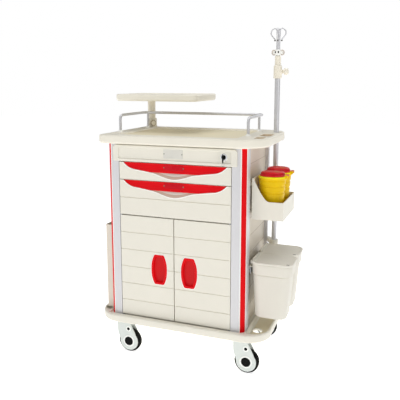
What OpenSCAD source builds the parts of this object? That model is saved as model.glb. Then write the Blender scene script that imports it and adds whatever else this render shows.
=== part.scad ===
// Hospital crash cart: five-level cabinet on four swivel casters, with
// two drawers, a two-door cupboard, guard rail, swivel shelf, IV pole,
// sharps tray, waste bins and a side file box.
// Cart coordinates: X across the front (0 = cabinet centre, + = handle end),
// Y = 0 at the cabinet's front face and positive to the back, Z up from the floor.

/* [Cabinet] */
// Width of the cabinet over its corner columns
cab_w = 600; // [560:10:640]
// Depth of the cabinet over its corner columns
cab_d = 428; // [400:4:460]
// Height of one layout module; the front is ten modules high
mod_h = 74; // [70:1:78]
// Height of the cabinet's lower edge above the floor
cab_z = 182; // [182:1:196]
// Side length of a corner column
col_s = 58; // [52:1:62]
// Radius of a column's outer corner
col_r = 40; // [34:1:44]
// How far the side and back panels lie behind the columns' outer faces
panel_inset = 15; // [12:1:18]

/* [Drawers and doors] */
// Thickness of the drawer fronts and doors
front_t = 18; // [16:1:22]
// Gap round each drawer front and door
gap = 1.5; // [1.5:0.25:2.5]
// Travel of the drawers
drawer_travel = 330; // [280:10:340]
// Width of a door's recessed handle
grip_w = 68; // [60:2:76]
// Height of a door's recessed handle
grip_h = 122; // [110:2:130]

/* [Tabletop] */
// Thickness of the tabletop
top_t = 35; // [30:1:40]
// Overhang of the tabletop at its left end
top_left = 30; // [24:1:36]
// Length of the handle wing past the cabinet's right side
top_right = 72; // [66:1:80]
// Overhang of the tabletop at the front
top_front = 26; // [26:1:34]
// Overhang of the tabletop at the back
top_back = 28; // [28:1:36]
// Height of the guard rail's centre line above the tabletop
rail_h = 71; // [60:1:90]
// Radius of the guard rail's tube
rail_r = 6; // [5:0.5:7]

/* [Shelf and pole] */
// Width of the swivel shelf
shelf_w = 385; // [340:5:400]
// Depth of the swivel shelf
shelf_d = 275; // [240:5:290]
// Thickness of the swivel shelf
shelf_t = 30; // [26:1:34]
// Outer radius of the fixed pole tube
pole_r = 11; // [10:0.5:12]
// Outer radius of the sliding pole rod
rod_r = 8; // [7:0.5:8]
// Height of the top of the fixed pole tube
pole_top = 1184; // [1120:4:1200]

/* [Casters] */
// Radius of a caster wheel
wheel_r = 51; // [48:0.5:51]
// Width of a caster wheel
wheel_w = 24; // [20:1:26]
// Distance from the swivel axis to the wheel's axle
trail = 28; // [24:1:30]

/* [Hidden] */
$fn = 48;
top_z = cab_z + 10*mod_h;          // underside of the tabletop
deck_z = top_z + top_t;            // upper face of the tabletop's rim
open_w = cab_w/2 - col_s;          // half width between the columns
zl = [for (i = [0:10]) cab_z + i*mod_h];
base_z = 155;                      // underside of the base tray
base_x0 = -cab_w/2 - 55;  base_x1 = cab_w/2 + 92;
base_y0 = -25;            base_y1 = cab_d + 25;
top_x0 = -cab_w/2 - top_left;  top_x1 = cab_w/2 + top_right;
top_y0 = -top_front;           top_y1 = cab_d + top_back;
cast_x = [-255, 273];
cast_y = [42, cab_d - 42];
post = [-cab_w/2 + 15, cab_d - 13];
pole = [cab_w/2 + 41, 325];
shelf_z = deck_z + 130;
bin_x1 = cab_w/2 + 178;            // outer edge of the waste bins' lids
pin_in = 4; pin_y = 3;             // door hinge axis, from the door's outer edge and face
ox = -(base_x0 + bin_x1)/2;  oy = -(top_y0 + top_y1)/2;

cream = [0.92,0.90,0.85]; shade = [0.87,0.85,0.80]; silver = [0.84,0.85,0.87];
red = [0.82,0.06,0.12]; yellow = [0.94,0.78,0.05]; black = [0.08,0.08,0.08];
grey = [0.83,0.86,0.85]; steel = [0.75,0.76,0.78];

// ---------- helpers ----------
// corner arc points
function arc(cx, cy, r, a0, a1, n) = [for (i = [0:n]) [cx + r*cos(a0 + (a1-a0)*i/n), cy + r*sin(a0 + (a1-a0)*i/n)]];
// rounded rectangle, one radius
function rr(x0, x1, y0, y1, r, n = 6) = concat(
  arc(x0+r, y0+r, r, 180, 270, n), arc(x1-r, y0+r, r, 270, 360, n),
  arc(x1-r, y1-r, r, 0, 90, n), arc(x0+r, y1-r, r, 90, 180, n));
// rounded rectangle, radii at front-left, front-right, back-right, back-left
function rr4(x0, x1, y0, y1, r, n = 8) = concat(
  arc(x0+r[0], y0+r[0], r[0], 180, 270, n), arc(x1-r[1], y0+r[1], r[1], 270, 360, n),
  arc(x1-r[2], y1-r[2], r[2], 0, 90, n), arc(x0+r[3], y1-r[3], r[3], 90, 180, n));
module place() { translate([ox, oy, 0]) children(); }
module box(x0, x1, y0, y1, z0, z1) { translate([x0, y0, z0]) cube([x1-x0, y1-y0, z1-z0]); }
module prism(pts, z0, z1) { translate([0, 0, z0]) linear_extrude(z1-z0) polygon(pts); }
module rod(x, y, z0, z1, r) { translate([x, y, z0]) cylinder(r = r, h = z1-z0); }
// outline in X-Z, extruded from y0 to y1
module slab(pts, y0, y1) { translate([0, y1, 0]) rotate([90, 0, 0]) linear_extrude(y1-y0) polygon(pts); }
module rod_y(x, z, y0, y1, r) { translate([x, y1, z]) rotate([90, 0, 0]) cylinder(r = r, h = y1-y0); }
module rod_x(y, z, x0, x1, r) { translate([x0, y, z]) rotate([0, 90, 0]) cylinder(r = r, h = x1-x0); }
// tapered box with rounded corners; b and t are [x0,x1,y0,y1]
module taper(b, t, z0, z1, r) {
  hull() {
    prism(rr(b[0], b[1], b[2], b[3], r, 4), z0, z0+0.5);
    prism(rr(t[0], t[1], t[2], t[3], r, 4), z1-0.5, z1);
  }
}
function unit(v) = v/norm(v);
// tube swept along a path of points; ref is never parallel to the path
module sweep(p, r, n = 12, ref = [-0.6, 0.3, 0.74]) {
  m = len(p);
  t = [for (i = [0:m-1]) unit(i == 0 ? p[1]-p[0] : i == m-1 ? p[i]-p[i-1] : unit(p[i]-p[i-1]) + unit(p[i+1]-p[i]))];
  pts = [for (i = [0:m-1]) let (u0 = unit(cross(ref, t[i])), v0 = cross(t[i], u0))
         for (k = [0:n-1]) p[i] + r*(cos(360*k/n)*u0 + sin(360*k/n)*v0)];
  polyhedron(points = pts, faces = concat(
    [[for (k = [0:n-1]) k]], [[for (k = [n-1:-1:0]) (m-1)*n + k]],
    [for (i = [0:m-2]) for (k = [0:n-1]) [i*n+k, (i+1)*n+k, (i+1)*n+(k+1)%n, i*n+(k+1)%n]]), convexity = 10);
}
// quarter bend from point a towards b, about a corner c, with n steps
function bend(a, c, b, n = 6) = [for (i = [0:n]) let (s = i/n) (1-s)*(1-s)*a + 2*s*(1-s)*c + s*s*b];

// ---------- cabinet frame ----------
// column section with its outer corner at the origin, reaching into +X +Y
function col_out(groove) = concat([[col_s, 0], [col_s, col_s], [0, col_s]],
  groove ? concat(arc(col_r, col_r, col_r, 180, 204, 4), arc(col_r, col_r, col_r-2, 204, 242, 6), arc(col_r, col_r, col_r, 242, 270, 4))
         : arc(col_r, col_r, col_r, 180, 270, 14));
module col_section(groove) {
  difference() {
    polygon(col_out(groove));
    polygon(concat([[col_s-3, 4.5], [col_s-3, col_s-3], [4.5, col_s-3]], arc(col_r, col_r, col_r-4.5, 180, 270, 10)));
  }
}
module column(sx, sy, groove) {
  color(silver) translate([sx*cab_w/2, sy < 0 ? 0 : cab_d, cab_z])
    mirror([sx > 0 ? 1 : 0, 0, 0]) mirror([0, sy > 0 ? 1 : 0, 0]) linear_extrude(10*mod_h) col_section(groove);
}
module strip(sx) {
  color(red) translate([sx*cab_w/2, 0, cab_z]) mirror([sx > 0 ? 1 : 0, 0, 0]) linear_extrude(10*mod_h)
    polygon(concat(arc(col_r, col_r, col_r-2, 204, 242, 6), [for (i = [6:-1:0]) [col_r + (col_r+1.2)*cos(204+38*i/6), col_r + (col_r+1.2)*sin(204+38*i/6)]]));
}
module side_panel(sx) {
  color(shade) {
    x0 = sx*(cab_w/2 - panel_inset);
    box(min(x0, x0-sx*4), max(x0, x0-sx*4), col_s, cab_d-col_s, cab_z, top_z);
  }
}
module back_panel() {
  yb = cab_d - panel_inset;
  color(shade) {
    difference() {
      box(-open_w, open_w, yb-4, yb, cab_z, top_z);
      box(-open_w+40, open_w-40, yb-1, yb+1, 780, 880);
    }
  }
}
module divider_panel() { color(shade) box(-open_w, open_w, 24, cab_d-panel_inset-4, zl[6]-10, zl[6]-5); }
module base_tray() {
  color(cream) difference() {
    union() {
      prism(rr(base_x0+3, base_x1-3, base_y0+3, base_y1-3, 92, 10), base_z, base_z+4);
      prism(rr(base_x0, base_x1, base_y0, base_y1, 95, 10), base_z+4, 184);
      prism(rr(base_x0+3, base_x1-3, base_y0+3, base_y1-3, 92, 10), 184, 188);
    }
    // seat for the cabinet
    box(-cab_w/2-2, cab_w/2+2, -7, cab_d+7, cab_z, 190);
    // trays at both ends
    prism(rr4(base_x0+12, -cab_w/2-10, 24, cab_d-24, [26, 4, 4, 26]), base_z+10, 190);
    prism(rr4(cab_w/2+6, base_x1-12, 2, cab_d-2, [6, 62, 62, 6]), base_z+10, 190);
    rod(333, 84, base_z-1, base_z+11, 19);
    // hollow underside
    prism(rr(-212, 230, 16, cab_d-16, 20), base_z-1, cab_z-16);
  }
}

// ---------- header and lock ----------
lock_p = [211, 886];
module header_panel() {
  color(cream) difference() {
    union() {
      slab([for (p = rr4(-264, 264, -zl[10]+0.4, -zl[9]-3, [12, 12, 3, 3], 6)) [p[0], -p[1]]], -8, -0.2);
      box(-open_w, open_w, -0.3, 8, zl[9]+1.5, top_z-0.4);
    }
    slab(rr(-240, 240, zl[9]+15, zl[10]-12, 4, 4), -9, -4);
    rod_y(lock_p[0], lock_p[1], -9, 9, 9.06);
  }
}
module lock_cylinder() {
  color(steel) difference() {
    union() {
      rod_y(lock_p[0], lock_p[1], -7, 16, 9);
      rod_y(lock_p[0], lock_p[1], -7, -3.9, 9);
      box(lock_p[0]-6, lock_p[0]+6, 16, 19, lock_p[1]-6, lock_p[1]+28);
    }
    box(lock_p[0]-1.3, lock_p[0]+1.3, -8, 6, lock_p[1]-4, lock_p[1]+4);
  }
}
module key() {
  color(steel) difference() {
    union() {
      box(lock_p[0]-1, lock_p[0]+1, -14, 5, lock_p[1]-3.5, lock_p[1]+3.5);
      translate([lock_p[0]-1, -17, lock_p[1]-10]) rotate([90, 0, 90]) linear_extrude(2) polygon(rr(-7.5, 6.5, -13, 15, 5, 5));
    }
    rod_x(-18, lock_p[1]-16, lock_p[0]-3, lock_p[0]+3, 2.5);
  }
}

// ---------- drawers ----------
// outline of the red pull: wide at the top, narrowing to a straight lip
function bend2(p, c, q, t) = p*(1-t)*(1-t) + 2*c*t*(1-t) + q*t*t;
pull_half = concat([for (i = [0:8]) bend2([222, 1], [200, 27], [165, 30], i/8)], [for (i = [1:4]) bend2([165, 30], [138, 33], [107, 38], i/4)]);
function pull(zt) = concat([for (p = pull_half) [p[0], zt - p[1]]], [for (i = [len(pull_half)-1:-1:0]) [-pull_half[i][0], zt - pull_half[i][1]]]);
// finger scoop below and behind the lip
function scoop(zt) = concat([[-107, zt-14]], [for (i = [0:14]) let (x = -107 + 214*i/14) [x, zt - 38 - 24*pow(cos(90*x/112), 2)]], [[107, zt-14]]);
module drawer_front(z0, z1, grooves) {
  color(cream) difference() {
    box(-open_w+gap, open_w-gap, 0, front_t, z0+gap/2, z1-gap/2);
    slab(pull(z1), -1, 5);
    slab(scoop(z1), -1, 14);
    for (z = grooves) box(-open_w, open_w, -1, 2, z-1.2, z+1.2);
  }
}
module drawer_grip(z1) {
  color(red) difference() {
    slab(pull(z1), -1, 5);
    slab([[-210, z1-4], [210, z1-4], [174, z1-24], [104, z1-33], [-104, z1-33], [-174, z1-24]], -2, 1);
  }
}
module drawer_box(z0, z1, zr) {
  color(shade) {
    difference() {
      box(-224, 224, front_t, 396, z0, z1);
      box(-221, 221, front_t+3, 393, z0+3, z1+1);
    }
    for (s = [-1, 1]) box(s > 0 ? 224 : -232, s > 0 ? 232 : -224, 24, 390, zr-6, zr+6);
  }
}
module fixed_runners() {
  color(steel) for (zr = [810, 700], s = [-1, 1]) difference() {
    box(s > 0 ? 226.5 : -open_w, s > 0 ? open_w : -226.5, 22, 392, zr-14, zr+14);
    box(s > 0 ? 220 : -233, s > 0 ? 233 : -220, 20, 400, zr-6.5, zr+6.5);
  }
}

// ---------- doors ----------
function barrel(cx, cz, w, h) = concat(
  [for (i = [0:12]) let (t = -1 + 2*i/12) [cx + w/2*(1 - 0.4*pow(abs(t), 2.6)), cz + t*h/2]],
  [for (i = [12:-1:0]) let (t = -1 + 2*i/12) [cx - w/2*(1 - 0.4*pow(abs(t), 2.6)), cz + t*h/2]]);
grip_z = cab_z + 3*mod_h;
module door(s) {
  x0 = s < 0 ? -open_w+gap : 1;  x1 = s < 0 ? -1 : open_w-gap;
  px = s*(open_w - gap - pin_in);
  color(cream) difference() {
    box(x0, x1, 0, front_t, cab_z+7.2, zl[6]-3);
    for (i = [1:5]) box(x0-1, x1+1, -1, 2, zl[i]-1.2, zl[i]+1.2);
    slab(barrel(s*66, grip_z, grip_w, grip_h), -1, 14);
    rod(px, pin_y, cab_z+2, cab_z+20, 2.06);
    rod(px, pin_y, zl[6]-20, zl[6]-2, 2.06);
  }
}
module door_handle(s) {
  color(red) difference() {
    slab(barrel(s*66, grip_z, grip_w, grip_h), -1.5, 14);
    slab(barrel(s*66, grip_z, grip_w-12, grip_h-12), -3, 11);
  }
}
module door_hinges() {
  color(steel) for (s = [-1, 1]) {
    px = s*(open_w - gap - pin_in);
    for (b = [0, 1]) {
      za = b ? zl[6]-2.6 : cab_z;
      box(min(px-s*4, s*open_w), max(px-s*4, s*open_w), 0.5, 7.5, za, b ? za+1.8 : cab_z+6.6);
      rod(px, pin_y, b ? zl[6]-18 : cab_z+1, b ? zl[6]-1 : cab_z+18, 2);
    }
  }
}

// ---------- tabletop ----------
function top_out(o) = rr4(top_x0+o, top_x1-o, top_y0+o, top_y1-o, [34-o, 118-o, 118-o, 34-o], 10);
module tabletop() {
  color(cream) difference() {
    union() {
      prism(top_out(3), top_z, top_z+4);
      prism(top_out(0), top_z+4, deck_z-4);
      prism(top_out(3), deck_z-4, deck_z);
    }
    prism(rr(-262, 250, 30, 410, 22), deck_z-6, deck_z+1);
    prism(rr(-open_w+8, open_w-8, 30, 396, 10), top_z-1, deck_z-14);
    // hand holes in the wing
    prism(rr4(cab_w/2+10, cab_w/2+46, 42, 122, [12, 16, 12, 12], 5), top_z-1, deck_z+1);
    prism(rr4(cab_w/2+4, cab_w/2+50, 146, 256, [12, 14, 14, 12], 5), top_z-1, deck_z+1);
    rod(pole[0], pole[1], top_z-1, deck_z+1, pole_r+0.05);
    rod(post[0], post[1], top_z+6, deck_z+1, 18.06);
  }
}
rail_x = [-cab_w/2, cab_w/2-30];  rail_y = [128, 372];
module guard_rail() {
  z = deck_z + rail_h;
  color(steel) {
    sweep(concat(
      [[rail_x[0], rail_y[0], deck_z], [rail_x[0], rail_y[0], z-30]],
      bend([rail_x[0], rail_y[0], z-24], [rail_x[0], rail_y[0], z], [rail_x[0], rail_y[0]+24, z]),
      bend([rail_x[0], rail_y[1]-24, z], [rail_x[0], rail_y[1], z], [rail_x[0]+24, rail_y[1], z]),
      bend([rail_x[1]-24, rail_y[1], z], [rail_x[1], rail_y[1], z], [rail_x[1], rail_y[1]-24, z]),
      bend([rail_x[1], rail_y[0]+24, z], [rail_x[1], rail_y[0], z], [rail_x[1], rail_y[0], z-24]),
      [[rail_x[1], rail_y[0], z-30], [rail_x[1], rail_y[0], deck_z]]), rail_r, 12);
    for (i = [0, 1]) translate([rail_x[i] + (i ? -16 : 16), rail_y[1], deck_z]) cylinder(r = rail_r-0.5, h = rail_h, $fn = 24);
  }
}
module rail_sockets() {
  color(steel) for (p = [[rail_x[0], rail_y[0], rail_r], [rail_x[1], rail_y[0], rail_r], [rail_x[0]+16, rail_y[1], rail_r-0.5], [rail_x[1]-16, rail_y[1], rail_r-0.5]])
    difference() { rod(p[0], p[1], deck_z, deck_z+7, p[2]+4); rod(p[0], p[1], deck_z-1, deck_z+8, p[2]+0.1); }
}

// ---------- swivel shelf ----------
kdir = [0.574, -0.819];
module kn_at() { translate([post[0], post[1], deck_z+21]) rotate([0, 0, atan2(kdir[1], kdir[0])]) rotate([0, 90, 0]) children(); }
module shelf_socket() {
  color(cream) difference() {
    union() { rod(post[0], post[1], deck_z, deck_z+42, 24); rod(post[0], post[1], deck_z, deck_z+5, 27); }
    rod(post[0], post[1], deck_z-1, deck_z+43, 18.06);
    kn_at() cylinder(r = 4.05, h = 40);
  }
}
module shelf_post() {
  color(cream) { rod(post[0], post[1], top_z+6.3, shelf_z-0.4, 18); rod(post[0], post[1], shelf_z-1, shelf_z+17, 12); }
}
module shelf_knob() {
  color(black) kn_at() {
    translate([0, 0, 18.3]) cylinder(r = 4, h = 20);
    translate([0, 0, 27.5]) cylinder(r = 14, h = 20, $fn = 8);
  }
}
sh_x0 = post[0] - 67;  sh_y1 = post[1] + 35;
module top_shelf() {
  color(cream) difference() {
    union() {
      prism(rr(sh_x0+2, sh_x0+shelf_w-2, sh_y1-shelf_d+2, sh_y1-2, 24, 8), shelf_z, shelf_z+3);
      prism(rr(sh_x0, sh_x0+shelf_w, sh_y1-shelf_d, sh_y1, 26, 8), shelf_z+3, shelf_z+shelf_t);
    }
    prism(rr(sh_x0+12, sh_x0+shelf_w-12, sh_y1-shelf_d+12, sh_y1-12, 18, 8), shelf_z+shelf_t-4, shelf_z+shelf_t+1);
    difference() {
      prism(rr(sh_x0+10, sh_x0+shelf_w-10, sh_y1-shelf_d+10, sh_y1-10, 18, 8), shelf_z-1, shelf_z+shelf_t-10);
      rod(post[0], post[1], shelf_z-2, shelf_z+shelf_t, 29);
    }
    rod(post[0], post[1], shelf_z-1, shelf_z+18, 12.06);
  }
}

// ---------- pole ----------
module pole_tube() { color(steel) difference() { rod(pole[0], pole[1], 440, pole_top, pole_r); rod(pole[0], pole[1], 439, pole_top+1, rod_r+0.6); } }
module pole_clamp() {
  color(steel) difference() {
    union() {
      rod(pole[0], pole[1], pole_top, pole_top+54, 17);
      rod(pole[0], pole[1], pole_top+54, pole_top+93, 12.5);
    }
    rod(pole[0], pole[1], pole_top-1, pole_top+94, rod_r+0.06);
    rod_x(pole[1], pole_top+28, pole[0]+8, pole[0]+20, 4.05);
  }
}
module pole_knob() {
  color(black) { rod_x(pole[1], pole_top+28, pole[0]+8.4, pole[0]+24, 4); rod_x(pole[1], pole_top+28, pole[0]+18.5, pole[0]+45, 14); }
}
module pole_rod() {
  zt = pole_top + 190;
  color(steel) {
    difference() { rod(pole[0], pole[1], 700, zt, rod_r); rod(pole[0], pole[1], 699, zt-30, rod_r-1.5); }
    rod(pole[0], pole[1], zt-2, zt+8, 9);
    for (a = [0:90:270]) translate([pole[0], pole[1], zt+3]) rotate([0, 0, a])
      sweep([[4,0,0],[10,0,8],[18,0,13],[27,0,10],[33,0,1],[35,0,-11],[32,0,-20],[26,0,-22],[22,0,-17],[21,0,-9]], 2.2, 8, [0, 1, 0]);
  }
}
module bottle_collar() {
  z = pole_top + 94;
  color(steel) difference() {
    union() {
      rod(pole[0], pole[1], z, z+24, 13);
      box(pole[0]-29, pole[0]+29, pole[1]-4, pole[1]+4, z+6, z+18);
      for (s = [-1, 1]) rod_y(pole[0]+s*24, z+12, pole[1]-5, pole[1]+5, 8);
    }
    rod(pole[0], pole[1], z-1, z+25, rod_r+0.01);
    for (s = [-1, 1]) rod_y(pole[0]+s*24, z+12, pole[1]-6, pole[1]+6, 3);
  }
}
module pole_bracket() {
  color(steel) difference() {
    union() {
      rod(pole[0], pole[1], 455, 485, 18);
      prism([[cab_w/2, cab_d-48], [cab_w/2, cab_d-40+4], [cab_w/2+6, cab_d-36], [pole[0]+10, pole[1]+15], [pole[0]-10, pole[1]-15], [cab_w/2+6, cab_d-70], [cab_w/2, cab_d-66+8]], 462, 478);
    }
    rod(pole[0], pole[1], 450, 490, pole_r+0.02);
  }
}

// ---------- right side ----------
tr = [cab_w/2, cab_w/2+130, 66, 300];   // tray outline
tr_z = [636, 709, 798];
tr_l = tr[0] + 5;                       // the tray stands off the cabinet on its bosses
// side wall: the upper edge runs down to the low front in a nearly straight sweep
module tray_side(y) {
  slab(concat([[tr_l, tr_z[0]], [tr[1], tr_z[0]], [tr[1], tr_z[1]]],
    [for (i = [0:8]) let (t = i/8) [tr_l+67*(1-t)*(1-t) + 2*46*t*(1-t) + 6*t*t, tr_z[1] + 2*2*t*(1-t) + (tr_z[2]-tr_z[1])*t*t]], [[tr_l, tr_z[2]]]), y, y+2);
}
module sharps_tray() {
  color(cream) {
    box(tr_l, tr[1], tr[2], tr[3], tr_z[0], tr_z[0]+2);
    box(tr_l, tr_l+2, tr[2], tr[3], tr_z[0], tr_z[2]);
    box(tr[1]-2, tr[1], tr[2], tr[3], tr_z[0], tr_z[1]);
    tray_side(tr[2]); tray_side(tr[3]-2);
    for (y = [100, 266], z = [660, 770]) rod_x(y, z, cab_w/2-panel_inset, tr_l+1, 7);
  }
}
sb_y = [[82, 180], [190, 288]];
// hinge of a lid: ears on the bin, knuckle and pin on the lid
module lid_ears(hx, hz, ym, w, x0, x1, z0) {
  difference() {
    for (s = [-1, 1]) box(x0, x1, s > 0 ? ym+w+1 : ym-w-5, s > 0 ? ym+w+5 : ym-w-1, z0, hz+2.8);
    rod_y(hx, hz, ym-w-6, ym+w+6, 1.3);
  }
}
module lid_knuckle(hx, hz, ym, w) { rod_y(hx, hz, ym-w, ym+w, 2.8); rod_y(hx, hz, ym-w-4, ym+w+4, 1.2); }
module sharps_bin(i) {
  y = sb_y[i];  x0 = tr[0]+18;  x1 = tr[1]-6;
  color(yellow) {
    difference() {
      union() {
        taper([x0+5, x1-4, y[0]+5, y[1]-5], [x0, x1, y[0], y[1]], tr_z[0]+2.3, 790, 42);
        prism(rr(x0-2, x1+4, y[0]-2, y[1]+2, 49, 8), 790, 804);
      }
      taper([x0+9, x1-8, y[0]+9, y[1]-9], [x0+6, x1-5, y[0]+6, y[1]-6], tr_z[0]+6.3, 806, 38);
    }
    lid_ears(x1+8, 807, (y[0]+y[1])/2, 13, x1-2, x1+11, 797);
  }
}
module sharps_lid(i) {
  y = sb_y[i];  x0 = tr[0]+18;  x1 = tr[1]-6;
  color(red) {
    difference() {
      union() {
        prism(rr(x0+3, x1-1, y[0]+3, y[1]-3, 44, 8), 804.3, 812);
        prism(rr(x0+9, x1-7, y[0]+9, y[1]-9, 39, 8), 812, 820);
      }
      prism(rr(x0+8, x1-6, y[0]+8, y[1]-8, 39, 8), 803, 810);
    }
    box(x1-6, x1+8, (y[0]+y[1])/2-11, (y[0]+y[1])/2+11, 805, 809);
    lid_knuckle(x1+8, 807, (y[0]+y[1])/2, 13);
  }
}
wb_y = [[34, 164], [172, 302]];
module waste_bin(i) {
  y = wb_y[i];
  color(cream) difference() {
    union() {
      taper([cab_w/2+24, cab_w/2+152, y[0]+12, y[1]-12], [cab_w/2+14, cab_w/2+168, y[0]+4, y[1]-4], 240, 448, 18);
      prism(rr(cab_w/2+12, cab_w/2+174, y[0], y[1], 20, 6), 446, 462);
      box(cab_w/2-2, cab_w/2+18, y[0]+30, y[1]-30, 439.4, 444);
      box(cab_w/2-2, cab_w/2+1.4, y[0]+30, y[1]-30, 430, 444);
    }
    taper([cab_w/2+27, cab_w/2+149, y[0]+15, y[1]-15], [cab_w/2+17, cab_w/2+165, y[0]+7, y[1]-7], 243, 464, 16);
  }
  color(cream) lid_ears(cab_w/2+8, 466, (y[0]+y[1])/2, 34, cab_w/2+5, cab_w/2+14.2, 456);
}
module waste_lid(i) {
  y = wb_y[i];
  color(cream) { box(cab_w/2+8, cab_w/2+16, (y[0]+y[1])/2-32, (y[0]+y[1])/2+32, 464.5, 467.5); lid_knuckle(cab_w/2+8, 466, (y[0]+y[1])/2, 34); }
  color(cream) difference() {
    union() {
      prism(rr4(cab_w/2+15.5, bin_x1-2, y[0]-2, y[1]+2, [8, 24, 24, 8], 6), 462.4, 470);
      prism(rr4(cab_w/2+15.5, bin_x1, y[0]-4, y[1]+4, [8, 26, 26, 8], 6), 464, 472);
    }
    prism(rr4(cab_w/2+20, bin_x1-10, y[0]+8, y[1]-8, [8, 16, 16, 8], 6), 461, 468);
    prism(rr4(cab_w/2+24, bin_x1-14, y[0]+12, y[1]-12, [8, 14, 14, 8], 6), 470, 474);
  }
}
module bin_hanger() {
  color(steel) {
    box(cab_w/2-panel_inset, cab_w/2+5.5, col_s+4, 300, 424, 428);
    box(cab_w/2+2.5, cab_w/2+5.5, col_s+4, 300, 412, 439);
    for (y = [90, 270]) box(cab_w/2-panel_inset, cab_w/2-panel_inset+3, y-12, y+12, 395, 424.5);
  }
}

// ---------- left side ----------
module side_box() {
  x1 = -cab_w/2-2;  x0 = x1-34;
  color(shade) {
    difference() {
      prism(rr4(x0, x1, 40, 340, [6, 2, 2, 6], 5), 190, 563);
      prism(rr4(x0+2, x1-2, 42, 338, [4, 1, 1, 4], 5), 192, 564);
      for (i = [0:0]) box(x0-1, x0+3, 110, 270, 540, 565);
    }
    for (y = [90, 290], z = [240, 500]) rod_x(y, z, x1-1, -cab_w/2+panel_inset, 7);
  }
}

// ---------- casters ----------
module caster_stems() {
  color(steel) for (x = cast_x, y = cast_y) { rod(x, y, base_z-4, base_z, 27); rod(x, y, base_z-7, base_z, 20); rod(x, y, 118, base_z-2, 8); }
}
module caster_hood(x, y) {
  out = [[-25, 146], [26, 146], [37, 122], [50, 84], [trail, wheel_r], [trail-41, wheel_r], [-25, 92]];
  color(grey) translate([x, y, 0]) difference() {
    union() {
      for (s = [-1, 1]) {
        ya = s > 0 ? wheel_w/2+1.5 : -wheel_w/2-5.5;
        slab(out, ya, ya+4);
        rod_y(trail, wheel_r, ya, ya+4, 42);
        rod_y(trail, wheel_r, s > 0 ? ya+3.5 : ya-2.5, s > 0 ? ya+6.5 : ya+0.5, 19);
        rod_y(trail, 106, s > 0 ? ya+3.5 : ya-1.5, s > 0 ? ya+5.5 : ya+0.5, 6);
      }
      slab([[-25, 146], [26, 146], [34, 128], [34, 107], [-2, 107], [-25, 94]], -wheel_w/2-2, wheel_w/2+2);
      rod_y(trail, wheel_r, -wheel_w/2-2, wheel_w/2+2, 6);
    }
    rod(0, 0, 117, 148, 8.06);
  }
}
module wheel(x, y) {
  h = wheel_w/2;
  color(black) translate([x+trail, y, wheel_r]) rotate([90, 0, 0]) rotate_extrude($fn = 64)
    polygon([[6.06, -h-0.8], [14, -h-0.8], [15, -h+3], [36, -h+3], [38, -h], [wheel_r-5, -h], [wheel_r-2, -h+2], [wheel_r, -h+6],
             [wheel_r, h-6], [wheel_r-2, h-2], [wheel_r-5, h], [38, h], [36, h-3], [15, h-3], [14, h+0.8], [6.06, h+0.8]]);
}

place() base_tray();
place() column(-1, -1, true);  // column_front_left
place() column(1, -1, true);  // column_front_right
place() column(-1, 1, false);  // column_rear_left
place() column(1, 1, false);  // column_rear_right
place() strip(-1);  // strip_left
place() strip(1);  // strip_right
place() side_panel(-1);  // side_panel_left
place() side_panel(1);  // side_panel_right
place() back_panel();
place() divider_panel();
place() header_panel();
place() fixed_runners();
place() door_hinges();
place() tabletop();
place() guard_rail();
place() rail_sockets();
place() shelf_socket();
place() pole_tube();
place() pole_clamp();
place() pole_bracket();
place() sharps_tray();
place() bin_hanger();
place() side_box();
place() caster_stems();
place() drawer_box(zl[8]+6, zl[9]-8, 810);  // drawer_1_box
place() drawer_front(zl[8], zl[9], []);  // drawer_1_front
place() drawer_grip(zl[9]);  // drawer_1_grip
place() drawer_box(zl[6]+6, zl[8]-8, 700);  // drawer_2_box
place() drawer_front(zl[6], zl[8], [zl[7]]);  // drawer_2_front
place() drawer_grip(zl[8]);  // drawer_2_grip
place() door(-1);  // door_left
place() door_handle(-1);  // door_left_handle
place() door(1);  // door_right
place() door_handle(1);  // door_right_handle
place() lock_cylinder();
place() key();
place() shelf_post();
place() top_shelf();
place() shelf_knob();
place() pole_rod();
place() bottle_collar();
place() pole_knob();
place() sharps_bin(0);  // sharps_bin_front
place() sharps_lid(0);  // sharps_lid_front
place() sharps_bin(1);  // sharps_bin_rear
place() sharps_lid(1);  // sharps_lid_rear
place() waste_bin(0);  // waste_bin_front
place() waste_lid(0);  // waste_lid_front
place() waste_bin(1);  // waste_bin_rear
place() waste_lid(1);  // waste_lid_rear
place() caster_hood(cast_x[0], cast_y[0]);  // caster_hood_fl
place() caster_hood(cast_x[1], cast_y[0]);  // caster_hood_fr
place() caster_hood(cast_x[0], cast_y[1]);  // caster_hood_rl
place() caster_hood(cast_x[1], cast_y[1]);  // caster_hood_rr
place() wheel(cast_x[0], cast_y[0]);  // wheel_fl
place() wheel(cast_x[1], cast_y[0]);  // wheel_fr
place() wheel(cast_x[0], cast_y[1]);  // wheel_rl
place() wheel(cast_x[1], cast_y[1]);  // wheel_rr
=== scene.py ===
import math
import bpy, bmesh
from mathutils import Vector, Matrix
from mathutils.geometry import tessellate_polygon


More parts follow.
